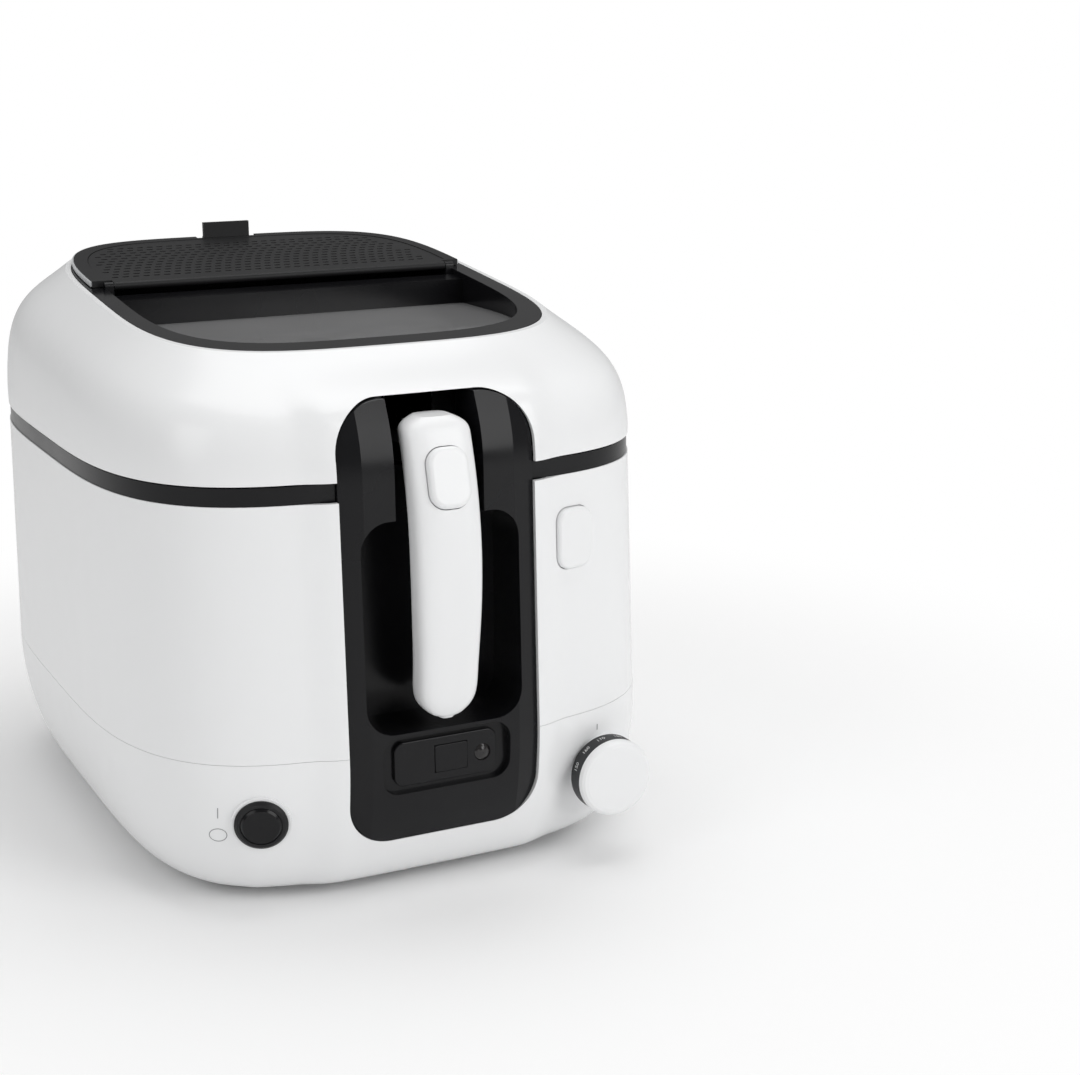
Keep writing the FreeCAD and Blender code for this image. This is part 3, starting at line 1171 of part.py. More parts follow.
doc.recompute()
for obj in doc.Objects:
    if "Invalid" in obj.State or "Error" in obj.State:
        raise RuntimeError(f"{obj.Label} failed to recompute")
os.makedirs("parts", exist_ok=True)
for obj in nodes:
    if obj.Shape.isNull() or not obj.Shape.isValid() or not obj.Shape.Solids:
        raise RuntimeError(f"{obj.Label} has no valid solid")
for obj in nodes:
    obj.Shape.exportStep(f"parts/{obj.Label}.step")
    print(f"{obj.Label}: {len(obj.Shape.Solids)} solids, {obj.Shape.Volume / 1000:.1f} cm3")
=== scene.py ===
import json
import math

import bmesh
import bpy
from mathutils import Matrix, Vector


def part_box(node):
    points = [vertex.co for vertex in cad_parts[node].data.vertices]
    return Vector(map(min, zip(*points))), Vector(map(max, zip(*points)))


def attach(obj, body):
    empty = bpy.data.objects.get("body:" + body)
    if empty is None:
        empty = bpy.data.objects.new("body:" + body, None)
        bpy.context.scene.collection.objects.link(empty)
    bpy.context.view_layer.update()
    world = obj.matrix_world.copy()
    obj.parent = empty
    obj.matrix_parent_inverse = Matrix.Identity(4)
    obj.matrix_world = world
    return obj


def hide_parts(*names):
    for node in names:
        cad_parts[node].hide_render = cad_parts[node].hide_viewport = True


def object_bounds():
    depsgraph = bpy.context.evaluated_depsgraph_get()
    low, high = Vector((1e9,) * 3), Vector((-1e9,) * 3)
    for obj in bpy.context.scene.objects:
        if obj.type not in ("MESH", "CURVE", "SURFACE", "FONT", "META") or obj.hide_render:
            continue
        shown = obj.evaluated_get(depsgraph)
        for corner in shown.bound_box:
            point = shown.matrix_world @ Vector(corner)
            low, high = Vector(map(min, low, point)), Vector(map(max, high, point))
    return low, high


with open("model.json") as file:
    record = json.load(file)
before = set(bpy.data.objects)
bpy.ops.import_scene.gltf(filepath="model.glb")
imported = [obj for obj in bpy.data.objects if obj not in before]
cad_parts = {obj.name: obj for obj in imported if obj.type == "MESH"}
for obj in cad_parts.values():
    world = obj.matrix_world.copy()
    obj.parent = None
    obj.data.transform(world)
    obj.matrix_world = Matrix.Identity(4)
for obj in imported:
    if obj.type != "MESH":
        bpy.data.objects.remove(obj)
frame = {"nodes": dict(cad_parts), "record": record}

# %% [markdown]
# The fryer's solids arrive as one Blender object for each CAD node, already in
# place and in metres. They could be remodelled here, but they carry the joints
# and the sizes, so they stay as they are: this file gives them their finishes
# and adds the fine pieces that a solid model leaves out.

# %% Take stock of the frame
CAD_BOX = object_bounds()
NODES = frame["nodes"]
MM = 0.001
low, high = (Vector(corner) for corner in CAD_BOX)
print("CAD box in mm", [round(v / MM, 1) for v in high - low], "nodes", len(NODES))

# %% [markdown]
# Moulded plastic is never a flat colour. Its skin copies the fine texture of
# the tool, and its gloss wanders a little. Several finishes need that, so it is
# built once as a node group: a height for a bump, and a mask for the gloss.
# An image could do the same, but a noise in object space has no seams.

# %% The shared grain of moulded plastic


def new_group(name, inputs, outputs):
    """An empty shader node group with the named sockets."""
    group = bpy.data.node_groups.new(name, "ShaderNodeTree")
    for socket, value in inputs:
        item = group.interface.new_socket(name=socket, in_out="INPUT", socket_type="NodeSocketFloat")
        item.default_value = value
    for socket, kind in outputs:
        group.interface.new_socket(name=socket, in_out="OUTPUT", socket_type=kind)
    return group


def add(tree, kind, place, **values):
    """One node, with its settings and the values of its unlinked sockets."""
    node = tree.nodes.new("ShaderNode" + kind)
    node.location = place
    for name, value in values.items():
        if hasattr(node, name):
            setattr(node, name, value)
        else:
            node.inputs[name.replace("_", " ")].default_value = value
    return node


def link(tree, source, target):
    tree.links.new(source, target)


def grain_group():
    """Fine tool texture as a height, and slow patches as a mask around one half."""
    group = new_group("Moulded grain", [("Grain Scale", 900.0), ("Patch Scale", 18.0)],
                      [("Height", "NodeSocketFloat"), ("Patches", "NodeSocketFloat")])
    entry = add(group, "TexCoord", (-800, 0))
    sizes = group.nodes.new("NodeGroupInput")
    sizes.location = (-800, -300)
    fine = add(group, "TexNoise", (-500, 150), Detail=3.0, Roughness=0.6)
    slow = add(group, "TexNoise", (-500, -150), Detail=2.0, Roughness=0.5)
    out = group.nodes.new("NodeGroupOutput")
    for noise, socket, target in ((fine, "Grain Scale", "Height"), (slow, "Patch Scale", "Patches")):
        link(group, entry.outputs["Object"], noise.inputs["Vector"])
        link(group, sizes.outputs[socket], noise.inputs["Scale"])
        link(group, noise.outputs["Fac"], out.inputs[target])
    return group


MOULDED_GRAIN = grain_group()
print("group", MOULDED_GRAIN.name, [item.name for item in MOULDED_GRAIN.interface.items_tree])

# %% [markdown]
# Drawn wire and rolled sheet steel show fine lines along one direction. A noise
# stretched along that direction gives the lines, once more as a group, so the
# hinge, the basket and the liner can each have their own direction and depth.

# %% The shared lines of brushed metal


def brushed_group():
    """Fine lines along X as a height, and slow stains as a mask."""
    group = new_group("Brushed lines", [("Across", 2600.0), ("Along", 30.0)],
                      [("Lines", "NodeSocketFloat"), ("Stains", "NodeSocketFloat")])
    entry = add(group, "TexCoord", (-1000, 0))
    sizes = group.nodes.new("NodeGroupInput")
    sizes.location = (-1000, -300)
    stretch = add(group, "CombineXYZ", (-800, -250))
    link(group, sizes.outputs["Along"], stretch.inputs["X"])
    link(group, sizes.outputs["Across"], stretch.inputs["Y"])
    link(group, sizes.outputs["Across"], stretch.inputs["Z"])
    scaled = add(group, "VectorMath", (-600, 0), operation="MULTIPLY")
    link(group, entry.outputs["Object"], scaled.inputs[0])
    link(group, stretch.outputs["Vector"], scaled.inputs[1])
    lines = add(group, "TexNoise", (-350, 100), Scale=1.0, Detail=2.0)
    link(group, scaled.outputs["Vector"], lines.inputs["Vector"])
    stains = add(group, "TexNoise", (-350, -200), Scale=35.0, Detail=3.0)
    link(group, entry.outputs["Object"], stains.inputs["Vector"])
    out = group.nodes.new("NodeGroupOutput")
    link(group, lines.outputs["Fac"], out.inputs["Lines"])
    link(group, stains.outputs["Fac"], out.inputs["Stains"])
    return group


BRUSHED_LINES = brushed_group()
print("group", BRUSHED_LINES.name)

# %% [markdown]
# Every finish below is a Principled shader. The group's patches move the gloss
# between two limits, and shade the colour very slightly, as a real moulding
# does. What is the same all over the surface is set on the shader itself.

# %% A finish from a colour, a gloss and a grain


MASK_LOW, MASK_HIGH = 0.2, 0.8


def shader_of(name):
    """A new material, its node tree and its Principled shader."""
    material = bpy.data.materials.new(name)
    material.use_nodes = True
    tree = material.node_tree
    return material, tree, tree.nodes["Principled BSDF"]


def between(tree, mask, low_value, high_value, place):
    """A value that follows a mask between two limits."""
    ramp = add(tree, "MapRange", place, interpolation_type="SMOOTHSTEP")
    for socket, value in (("From Min", MASK_LOW), ("From Max", MASK_HIGH),
                          ("To Min", low_value), ("To Max", high_value)):
        ramp.inputs[socket].default_value = value
    link(tree, mask, ramp.inputs["Value"])
    return ramp.outputs["Result"]


def tinted(tree, mask, first, second, place):
    """A colour that follows a mask between two colours."""
    ramp = add(tree, "ValToRGB", place)
    ramp.color_ramp.interpolation = "EASE"
    for element, position, colour in zip(ramp.color_ramp.elements, (MASK_LOW, MASK_HIGH), (first, second)):
        element.position = position
        element.color = (*colour, 1)
    link(tree, mask, ramp.inputs["Fac"])
    return ramp.outputs["Color"]


def patterned(name, group, sockets, colour, shade, gloss, depth, **fixed):
    """A material whose colour, gloss and bump follow one of the shared groups."""
    material, tree, shader = shader_of(name)
    source = tree.nodes.new("ShaderNodeGroup")
    source.node_tree = group
    source.location = (-900, 0)
    for socket, value in sockets.items():
        source.inputs[socket].default_value = value
    height, mask = source.outputs[0], source.outputs[1]
    darker = tuple(channel * (1 - shade) for channel in colour)
    link(tree, tinted(tree, mask, darker, colour, (-600, 200)), shader.inputs["Base Color"])
    link(tree, between(tree, mask, *gloss, (-600, -50)), shader.inputs["Roughness"])
    bump = add(tree, "Bump", (-300, -300), Strength=0.35, Distance=depth * MM)
    link(tree, height, bump.inputs["Height"])
    link(tree, bump.outputs["Normal"], shader.inputs["Normal"])
    for socket, value in fixed.items():
        shader.inputs[socket.replace("_", " ")].default_value = value
    return material


def plastic(name, colour, gloss, depth=0.01, grain=900.0, patch=18.0, shade=0.02, **fixed):
    sockets = {"Grain Scale": grain, "Patch Scale": patch}
    return patterned(name, MOULDED_GRAIN, sockets, colour, shade, gloss, depth, **fixed)


def metal(name, colour, gloss, depth=0.02, across=2600.0, along=30.0, shade=0.08, metallic=1.0):
    sockets = {"Across": across, "Along": along}
    return patterned(name, BRUSHED_LINES, sockets, colour, shade, gloss, depth, Metallic=metallic)


PALE = (0.83, 0.835, 0.84)
DARK = {"Specular_IOR_Level": 0.24}
WHITE = plastic("white shell plastic", PALE, (0.25, 0.262), depth=0.004, grain=600.0, patch=40.0,
                shade=0.003)
WHITE_TOUCH = plastic("white handle plastic", PALE, (0.3, 0.315), depth=0.006, patch=40.0, shade=0.003)
GLOSS_BLACK = plastic("glossy black plastic", (0.007, 0.007, 0.008), (0.16, 0.26), 0.003, 700.0, shade=0.2,
                      **DARK)
SATIN_BLACK = plastic("satin black plastic", (0.016, 0.016, 0.017), (0.4, 0.52), 0.012, shade=0.2, **DARK)
DIAL_GREY = plastic("dark dial plastic", (0.03, 0.031, 0.033), (0.4, 0.5), 0.012, shade=0.15, **DARK)
# The cover's side trims are white plastic lying in shade: their mid grey is painted shade, not the plastic's
# own colour.
TRIM_GREY_PAINTED_SHADE = plastic("trim plastic grey with painted shade", (0.55, 0.56, 0.57), (0.3, 0.4), depth=0.006)
RUBBER = plastic("matte rubber", (0.02, 0.02, 0.02), (0.75, 0.9), depth=0.03, grain=1400.0, shade=0.25)
FELT = plastic("charcoal filter felt", (0.02, 0.02, 0.02), (0.9, 1.0), depth=0.25, grain=500.0, patch=60.0,
               shade=0.2)
STEEL = metal("brushed steel", (0.62, 0.62, 0.61), (0.24, 0.38))
WIRE_STEEL = metal("drawn steel wire", (0.66, 0.66, 0.65), (0.2, 0.32), depth=0.01)
DULL_STEEL = metal("dull sheet steel", (0.4, 0.4, 0.4), (0.4, 0.55))
COPPER = metal("copper tube", (0.72, 0.4, 0.24), (0.25, 0.4))
COATING = plastic("non-stick coating", (0.03, 0.03, 0.031), (0.35, 0.5), depth=0.03, grain=1200.0,
                  shade=0.25)
print("finishes", len(bpy.data.materials))

# %% [markdown]
# The window is a thick smoked sheet, fogged grey from inside. A real sheet lets
# some light through, so part of its grey is transmission and not paint. The
# lamp's lens is a small dark translucent window over an unlit lamp.

# %% Glass and lens


WIPE_SCALE = 45.0
ACRYLIC_IOR = 1.49


def clear(name, colour, roughness, weight):
    """A see-through finish with faint wiping marks in its gloss."""
    material, tree, shader = shader_of(name)
    source = tree.nodes.new("ShaderNodeGroup")
    source.node_tree = MOULDED_GRAIN
    source.inputs["Patch Scale"].default_value = WIPE_SCALE
    link(tree, between(tree, source.outputs["Patches"], *roughness, (-400, -100)),
         shader.inputs["Roughness"])
    shader.inputs["Base Color"].default_value = (*colour, 1)
    shader.inputs["Transmission Weight"].default_value = weight
    shader.inputs["IOR"].default_value = ACRYLIC_IOR
    return material


SMOKED = clear("smoked window", (0.3, 0.3, 0.303), (0.1, 0.18), 0.3)
LENS = clear("dark lamp lens", (0.02, 0.018, 0.018), (0.08, 0.15), 0.3)
print("see-through finishes", SMOKED.name, LENS.name)

# %% [markdown]
# Each node gets its finish from one table, read from the photograph: white
# shells, handle and buttons, black front panel, collar, lid frame and switch.
# A table is easier to check against the picture than a call for every node.

# %% Give every node its finish
FINISHES = {
    WHITE: "base_shell body_casing lid_shell",
    WHITE_TOUCH: "handle_front handle_rear handle_button lid_button knob_cap",
    GLOSS_BLACK: "front_panel rim_band lid_frame timer_bay_insert blank_tile switch_cap",
    SATIN_BLACK: "filter_cover filter_grille switch_bezel base_plate thermostat_body thermal_cutout "
                 "terminal_block cord_gland switch_body latch_guide latch_arm basket_bracket",
    DIAL_GREY: "knob_ring",
    TRIM_GREY_PAINTED_SHADE: "cover_side_trims",
    RUBBER: "feet window_seal lid_gasket",
    FELT: "grease_filter",
    STEEL: "hinge_pin handle_pin cover_pin thermostat_shaft lid_hinge_arm lid_catch lid_screws "
           "base_screws handle_screws basket_rim latch_spring handle_button_spring",
    WIRE_STEEL: "basket_mesh",
    DULL_STEEL: "lid_liner heat_shield heating_element",
    COPPER: "thermostat_bulb",
    COATING: "oil_bowl",
    SMOKED: "viewing_window",
    LENS: "pilot_lamp_lens pilot_lamp",
}
bare = set(NODES)
for material, names in FINISHES.items():
    for name in names.split():
        NODES[name].data.materials.clear()
        NODES[name].data.materials.append(material)
        bare.discard(name)
print("nodes without a finish:", sorted(bare))

# %% [markdown]
# The basket is woven from steel wire, which the solid shows as a thin tub.
# Thousands of wires as separate curves would be slow, so all wires of the tub
# become one mesh: a small six-sided tube along each path.

# %% Tubes along paths


def tubes(name, paths, radius, sides=6):
    """One mesh object of round wires along open or closed paths (points, closed)."""
    mesh = bmesh.new()
    for points, closed in paths:
        rings = []
        count = len(points)
        turn = [2 * math.pi * k / sides for k in range(sides)]
        for i, point in enumerate(points):
            before = points[i - 1] if closed or i else points[i]
            after = points[(i + 1) % count] if closed or i < count - 1 else points[i]
            along = (after - before).normalized()
            side = (side - along * side.dot(along)).normalized() if rings else along.orthogonal().normalized()
            over = along.cross(side)
            rings.append([mesh.verts.new(point + (side * math.cos(t) + over * math.sin(t)) * radius)
                          for t in turn])
        pairs = list(zip(rings, rings[1:])) + ([(rings[-1], rings[0])] if closed else [])
        for first, second in pairs:
            for k in range(sides):
                mesh.faces.new((first[k], first[(k + 1) % sides], second[(k + 1) % sides], second[k]))
        if not closed:
            mesh.faces.new(rings[0][::-1])
            mesh.faces.new(rings[-1])
    return finished(name, mesh)


def finished(name, mesh, smooth=True):
    """Turns a bmesh into a linked object with smooth or flat faces."""
    mesh.normal_update()
    bmesh.ops.recalc_face_normals(mesh, faces=mesh.faces)
    data = bpy.data.meshes.new(name)
    mesh.to_mesh(data)
    mesh.free()
    for face in data.polygons:
        face.use_smooth = smooth
    piece = bpy.data.objects.new(name, data)
    bpy.context.collection.objects.link(piece)
    return piece


def wear(piece, material, body):
    """Gives a new piece its finish and the body it moves with."""
    piece.data.materials.clear()
    piece.data.materials.append(material)
    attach(piece, body)
    return piece


FINE_STEPS = 12


def squared_ring(a, b, power, z, centre_y, count):
    """Points round a squared ellipse, evenly spaced."""
    fine = []
    for i in range(count * FINE_STEPS):
        t = 2 * math.pi * i / (count * FINE_STEPS)
        c, s = math.cos(t), math.sin(t)
        fine.append(Vector((math.copysign(abs(c) ** (2 / power), c) * a,
                            math.copysign(abs(s) ** (2 / power), s) * b + centre_y, z)))
    run = [0.0]
    for p, q in zip(fine, fine[1:] + fine[:1]):
        run.append(run[-1] + (q - p).length)
    points, spot = [], 0
    for i in range(count):
        goal = run[-1] * i / count
        while run[spot + 1] < goal:
            spot += 1
        points.append(fine[spot].lerp(fine[(spot + 1) % len(fine)],
                                      (goal - run[spot]) / (run[spot + 1] - run[spot])))
    return points


print("helpers ready")

# %% [markdown]
# The tub's walls taper and round off into its floor. The wires follow the same
# curve: upright wires from rim to floor, rings across them, and a flat grid for
# the floor, each a wire's thickness apart so that they cross as woven ones do.

# %% Weave the basket
WIRE = 0.75 * MM
PITCH = 7.5 * MM
tub_low, tub_high = (Vector(corner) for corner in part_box("basket_mesh"))
TUB_A = (tub_high.x - tub_low.x) / 2
TUB_B = (tub_high.y - tub_low.y) / 2
TUB_Y = (tub_high.y + tub_low.y) / 2
TUB_FEET = 6 * MM
TUB_FLOOR = tub_low.z + TUB_FEET
TUB_HEIGHT = tub_high.z - TUB_FLOOR
TUB_POWER = 3.75
TUB_TAPER = 10 * MM
TAPER_POWER = 0.4
BEND_LEVELS = [0, 0.02, 0.06, 0.12, 0.2, 0.35, 0.55, 0.78, 1.0]
RING_POINTS = 160


def tub_ring(share, count, inset):
    """Points round the tub's wall at a share of its height."""
    draw = TUB_TAPER * (1 - share ** TAPER_POWER) + inset
    return squared_ring(TUB_A - draw, TUB_B - draw, TUB_POWER, TUB_FLOOR + WIRE + share * TUB_HEIGHT, TUB_Y,
                        count)


def floor_wires(half_width, half_length, z, crosswise):
    """Straight wires side by side, each as long as the squared floor is there."""
    wires = []
    last = int(half_width / PITCH)
    for number in range(-last, last + 1):
        offset = number * PITCH
        reach = half_length * max(1 - (abs(offset) / half_width) ** TUB_POWER, 0) ** (1 / TUB_POWER)
        if reach > PITCH:
            ends = [(-reach, offset), (reach, offset)] if crosswise else [(offset, -reach), (offset, reach)]
            wires.append(([Vector((x, TUB_Y + y, z)) for x, y in ends], False))
    return wires


UPRIGHTS = int(math.pi * (TUB_A + TUB_B) / PITCH)
stacked = [tub_ring(share, UPRIGHTS, WIRE) for share in BEND_LEVELS]
paths = [([ring[i] for ring in stacked], False) for i in range(UPRIGHTS)]
for number in range(int(TUB_HEIGHT / PITCH)):
    paths.append((tub_ring((number + 0.5) * PITCH / TUB_HEIGHT, RING_POINTS, 3 * WIRE), True))
floor_a, floor_b = TUB_A - TUB_TAPER - WIRE, TUB_B - TUB_TAPER - WIRE
paths += floor_wires(floor_a, floor_b, TUB_FLOOR + WIRE, crosswise=False)
paths += floor_wires(floor_b, floor_a, TUB_FLOOR + 3 * WIRE, crosswise=True)
basket_wires = wear(tubes("basket_wires", paths, WIRE), WIRE_STEEL, "basket")
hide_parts("basket_mesh")
print("basket wires", len(paths), "faces", len(basket_wires.data.polygons))

# %% [markdown]
# The two buttons sit on coil springs. The solids hold a plain sleeve in their place, so a helix of wire along
# the sleeve, a little shorter than it, stands for each.

# %% Coil the springs


COIL_RADIUS = 2.9 * MM
COIL_WIRE = 0.4 * MM
COIL_TURNS = 5
COIL_STEPS = 18
COIL_ENDS = 2.5 * MM
COIL_LEAST = 3 * MM


def coil(name, node, axis, body, travel):
    """A helix along an axis in the node's box, short enough for the button's travel."""
    a, b = (Vector(corner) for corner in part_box(node))
    axis = Vector(axis).normalized()
    middle = (a + b) / 2 + axis * travel / 2
    side = axis.orthogonal().normalized()
    over = axis.cross(side)
    length = max((b - a).dot(Vector(map(abs, axis))) - COIL_ENDS - travel, COIL_LEAST)
    points = []
    for i in range(COIL_TURNS * COIL_STEPS + 1):
        t = 2 * math.pi * i / COIL_STEPS
        along = axis * (length * (i / (COIL_TURNS * COIL_STEPS) - 0.5))
        points.append(middle + along + (side * math.cos(t) + over * math.sin(t)) * COIL_RADIUS)
    piece = wear(tubes(name, [(points, False)], COIL_WIRE), STEEL, body)
    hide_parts(node)
    return piece


joints = {joint["name"]: joint for joint in frame["record"]["behaviour"]["joints"]}
handle_press, lid_press = joints["handle_button_press"], joints["lid_button_press"]
coil("handle_button_coil", "handle_button_spring", handle_press["axis"], "handle", handle_press["range_m"][1])
coil("latch_coil", "latch_spring", lid_press["axis"], "base", 0)
print("springs coiled")

# %% [markdown]
# The printed marks by the switch, the dial's numbers and the index line are a
# few hundredths of a millimetre of ink. They could be painted in a material,
# but thin pieces laid on the surface keep sharp edges at any distance.

# %% Lay marks on a surface


def onto(node, point, direction):
    """Where a ray from a point meets a node, with the surface's normal there."""
    obj = NODES[node]
    back = obj.matrix_world.inverted()
    start = back @ Vector(point)
    heading = (back.to_3x3() @ Vector(direction)).normalized()
    hit, place, normal, _ = obj.ray_cast(start, heading)
    if not hit:
        raise RuntimeError(f"no surface of {node} at {tuple(point)}")
    return obj.matrix_world @ place, (obj.matrix_world.to_3x3() @ normal).normalized()


INK_LIFT = 0.06 * MM
RAY_START = low.y - 50 * MM
INK_GREY = plastic("grey print", (0.3, 0.3, 0.31), (0.5, 0.6), depth=0.001)
INK_WHITE = plastic("white print", (0.7, 0.7, 0.7), (0.5, 0.6), depth=0.001)


def strip(name, node, spots, width, closed, material, body):
    """A thin printed line through spots (x, z), laid on a front-facing surface."""
    centre = [onto(node, (x, RAY_START, z), (0, 1, 0)) for x, z in spots]
    mesh = bmesh.new()
    rows = []
    count = len(centre)
    for i, (place, normal) in enumerate(centre):
        before = centre[i - 1][0] if closed or i else place
        after = centre[(i + 1) % count][0] if closed or i < count - 1 else place
        side = (after - before).normalized().cross(normal).normalized()
        lifted = place + normal * INK_LIFT
        rows.append([mesh.verts.new(lifted + side * width / 2), mesh.verts.new(lifted - side * width / 2)])
    for first, second in list(zip(rows, rows[1:])) + ([(rows[-1], rows[0])] if closed else []):
        mesh.faces.new((first[0], first[1], second[1], second[0]))
    return wear(finished(name, mesh), material, body)


def middle_of(node):
    """The centre of a node's box at rest."""
    first, last = (Vector(corner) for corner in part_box(node))
    return (first + last) / 2


def upright(x, z, length):
    """Spots up a short upright line."""
    return [(x, z + length * i / 3) for i in range(4)]


switch, ring_centre = middle_of("switch_bezel"), middle_of("knob_ring")
ring_radius = ring_centre.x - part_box("knob_ring")[0][0]
OFF_RADIUS, OFF_POINTS = 3.4 * MM, 32
off_x, off_z = switch.x - 17.946 * MM, switch.z - 6.115 * MM
turns = [2 * math.pi * i / OFF_POINTS for i in range(OFF_POINTS)]
off_ring = [(off_x + OFF_RADIUS * math.cos(t), off_z + OFF_RADIUS * math.sin(t)) for t in turns]
on_line = upright(switch.x - 18.346 * MM, switch.z + 2.885 * MM, 5.4 * MM)
index_line = upright(ring_centre.x - 2.4 * MM, ring_centre.z + ring_radius + 1.5 * MM, 3 * MM)
strip("mark_off", "base_shell", off_ring, 0.45 * MM, True, INK_GREY, "base")
strip("mark_on", "base_shell", on_line, 0.5 * MM, False, INK_GREY, "base")
strip("dial_index", "base_shell", index_line, 0.7 * MM, False, INK_GREY, "base")
print("printed marks laid beside the switch at", [round(v / MM, 1) for v in switch])

# %% [markdown]
# The dial's numbers run round the dark ring of the knob. Each is a text object
# turned into a mesh and wrapped on the ring's cylinder, so it rides with the
# knob as it turns.

# %% Number the dial


def wrapped_text(word, angle, radius, depth, centre, size):
    """A word's mesh bent round an axis along -Y, read from outside."""
    curve = bpy.data.curves.new("dial_word", "FONT")
    curve.body = word
    curve.size = size
    curve.align_x = "CENTER"
    curve.align_y = "CENTER"
    holder = bpy.data.objects.new("dial_word", curve)
    bpy.context.collection.objects.link(holder)
    bpy.context.view_layer.update()
    shape = bpy.data.meshes.new_from_object(holder.evaluated_get(bpy.context.evaluated_depsgraph_get()))
    bpy.data.objects.remove(holder)
    bpy.data.curves.remove(curve)
    for vertex in shape.vertices:
        turn = angle - vertex.co.x / radius
        vertex.co = (centre.x + radius * math.cos(turn), depth + vertex.co.y,
                     centre.z + radius * math.sin(turn))
    return shape


DIAL_WORDS = ["150", "160", "170", "180", "190"]
FIRST_WORD, WORD_STEP = math.radians(160), math.radians(28)
WORD_SIZE = 3.2 * MM
mesh = bmesh.new()
for number, word in enumerate(DIAL_WORDS):
    angle = FIRST_WORD - WORD_STEP * number
    piece = wrapped_text(word, angle, ring_radius + INK_LIFT, ring_centre.y, ring_centre, WORD_SIZE)
    mesh.from_mesh(piece)
    bpy.data.meshes.remove(piece)
dial = wear(finished("dial_numbers", mesh, smooth=False), INK_WHITE, "thermostat_knob")
print("dial numbers", len(DIAL_WORDS), "faces", len(dial.data.polygons))

# %% [markdown]
# The fryer stands on a pale floor, which keeps the soft shadow under it. A real
# floor would show a horizon, so further out the camera sees it as plain white:
# its shader fades to a white glow with the distance from the middle, for
# camera rays alone, and the light that it throws back stays as it is.

# %% Floor
FLOOR_REACH = 6.0
FLOOR_DROP = 0.2 * MM
FADE_START, FADE_END = 0.15, 0.6


def mixed(tree, share, first, second, target=None):
    """Mixes two shaders by a share, and feeds an output node where one is named."""
    mix = add(tree, "MixShader", (350, 0))
    link(tree, share, mix.inputs["Fac"])
    link(tree, first, mix.inputs[1])
    link(tree, second, mix.inputs[2])
    if target:
        link(tree, mix.outputs["Shader"], tree.nodes[target].inputs["Surface"])
    return mix.outputs["Shader"]


def floor_finish():
    """A pale matte finish that fades to white away from the object."""
    material, tree, shader = shader_of("pale studio floor")
    shader.inputs["Base Color"].default_value = (0.94, 0.94, 0.94, 1)
    shader.inputs["Roughness"].default_value = 0.9
    shader.inputs["Specular IOR Level"].default_value = 0.1
    spot = add(tree, "NewGeometry", (-900, -300))
    away = add(tree, "VectorMath", (-700, -300), operation="LENGTH")
    link(tree, spot.outputs["Position"], away.inputs[0])
    fade = add(tree, "MapRange", (-500, -300), interpolation_type="SMOOTHSTEP")
    fade.inputs["From Min"].default_value = FADE_START
    fade.inputs["From Max"].default_value = FADE_END
    link(tree, away.outputs["Value"], fade.inputs["Value"])
    ray = add(tree, "LightPath", (-700, -550))
    seen = add(tree, "Math", (-250, -350), operation="MULTIPLY")
    link(tree, fade.outputs["Result"], seen.inputs[0])
    link(tree, ray.outputs["Is Camera Ray"], seen.inputs[1])
    glow = add(tree, "Emission", (0, -300), Strength=1.0)
    mixed(tree, seen.outputs["Value"], shader.outputs["BSDF"], glow.outputs["Emission"], "Material Output")
    return material


mesh = bmesh.new()
mesh.faces.new([mesh.verts.new((x * FLOOR_REACH, y * FLOOR_REACH, -FLOOR_DROP))
                for x, y in ((-1, -1), (1, -1), (1, 1), (-1, 1))])
floor = finished("floor", mesh, smooth=False)
floor.data.materials.append(floor_finish())
print("floor reaches", FLOOR_REACH, "m")

# %% [markdown]
# A white world lights the object from all sides. Seen directly it is plain
# white; in reflections it is dimmer, so that the black pieces stay black, and
# the strength in between lights everything else. One background could not do
# all three, so the kind of ray picks its strength.

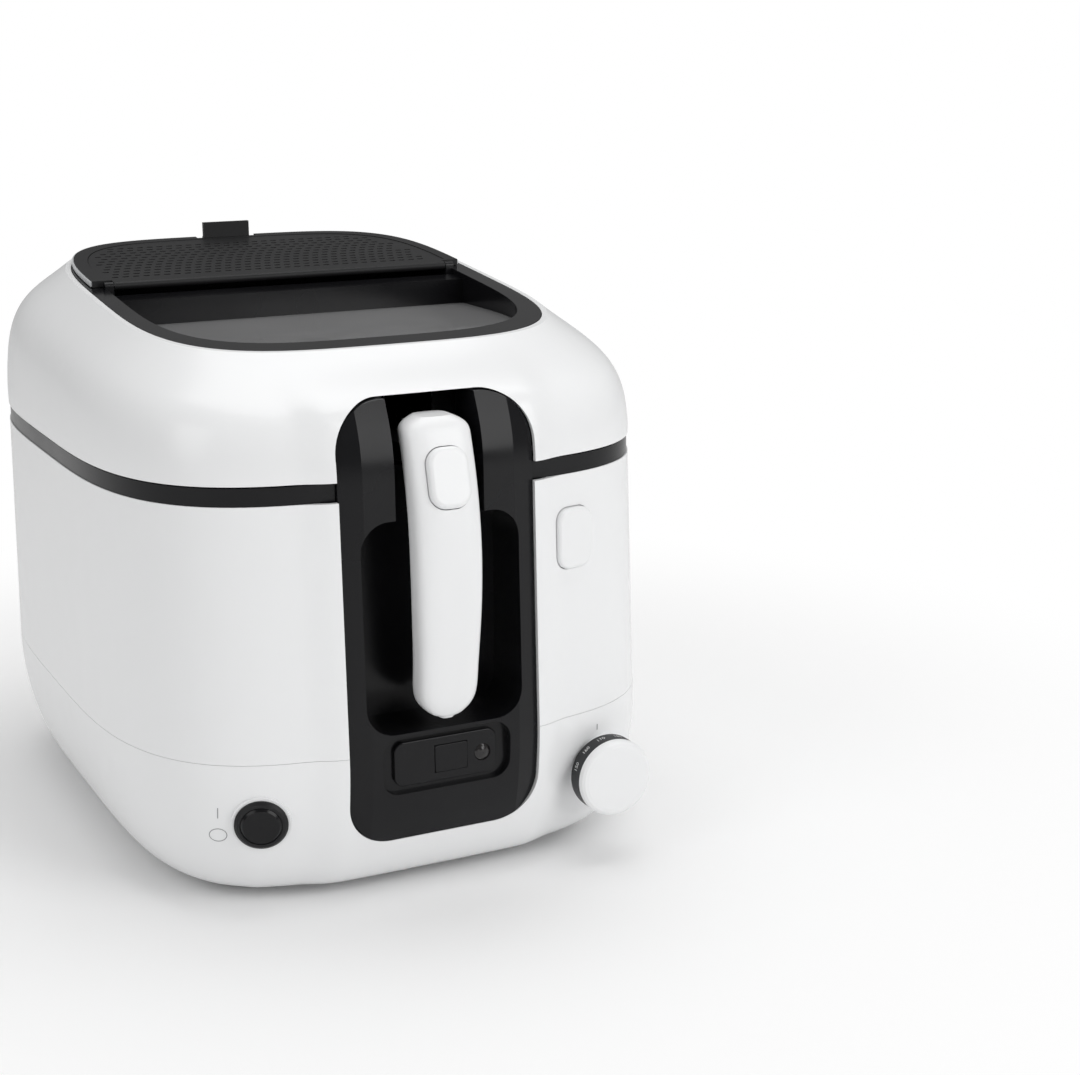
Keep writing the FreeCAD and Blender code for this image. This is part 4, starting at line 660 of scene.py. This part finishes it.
# %% World
SKY_LIGHT, SKY_MIRRORED, SKY_SEEN = 0.47, 0.24, 1.0
scene = bpy.context.scene
scene.view_settings.view_transform = "Standard"
world = bpy.data.worlds.new("white studio")
scene.world = world
world.use_nodes = True
tree = world.node_tree
sky = tree.nodes["Background"]
mirrored = add(tree, "Background", (0, -400))
seen = add(tree, "Background", (0, -200))
for source, strength in ((sky, SKY_LIGHT), (mirrored, SKY_MIRRORED), (seen, SKY_SEEN)):
    source.inputs["Color"].default_value = (1, 1, 1, 1)
    source.inputs["Strength"].default_value = strength
ray = add(tree, "LightPath", (-300, 200))
softer = mixed(tree, ray.outputs["Is Glossy Ray"], sky.outputs["Background"], mirrored.outputs["Background"])
mixed(tree, ray.outputs["Is Camera Ray"], softer, seen.outputs["Background"], "World Output")
print("world", world.name, "strengths", SKY_LIGHT, SKY_MIRRORED, SKY_SEEN)

# %% [markdown]
# Three large soft lamps give the shells their gradients: one overhead, one from
# the front right and a weaker one from the left. Small lamps would throw hard
# shadows and leave hot spots on the glossy black panel.

# %% Lamps
LAMP_AIM = Vector((0, 0, 0.15))


def softbox(name, place, width, height, power):
    """A rectangular area lamp that looks at the middle of the object."""
    lamp = bpy.data.lights.new(name, "AREA")
    lamp.shape = "RECTANGLE"
    lamp.size, lamp.size_y = width, height
    lamp.energy = power
    holder = bpy.data.objects.new(name, lamp)
    bpy.context.collection.objects.link(holder)
    holder.location = place
    holder.rotation_euler = (LAMP_AIM - Vector(place)).to_track_quat("-Z", "Y").to_euler()
    return holder


softbox("top softbox", (0.2, 0.1, 1.6), 1.4, 1.2, 10)
softbox("front softbox", (0.8, -1.5, 0.8), 0.9, 1.2, 10.5)
softbox("side softbox", (-1.5, -0.6, 0.9), 0.8, 1.2, 5)

# %% [markdown]
# The camera was worked out from the photograph: the collar and the lid's top
# edge are known curves, so their outlines in the picture give the viewpoint,
# the direction and the focal length.

# %% Camera
EYE = Vector((-359.0, -998.22, 403.0)) * MM
RIGHT = Vector((0.8942, -0.4475, -0.0078))
RISE = Vector((0.1164, 0.2157, 0.9695))
BACK = Vector((-0.4322, -0.8679, 0.2449))
lens = bpy.data.cameras.new("photo camera")
lens.sensor_fit = "HORIZONTAL"
lens.sensor_width = 36.0
lens.lens = 66.64
lens.clip_start = 0.01
camera = bpy.data.objects.new("photo camera", lens)
bpy.context.collection.objects.link(camera)
turn = Matrix((RIGHT, RISE, BACK)).transposed()
camera.matrix_world = Matrix.Translation(EYE) @ turn.to_4x4()
scene.camera = camera
print("camera at", [round(v, 3) for v in EYE], "lens", lens.lens)
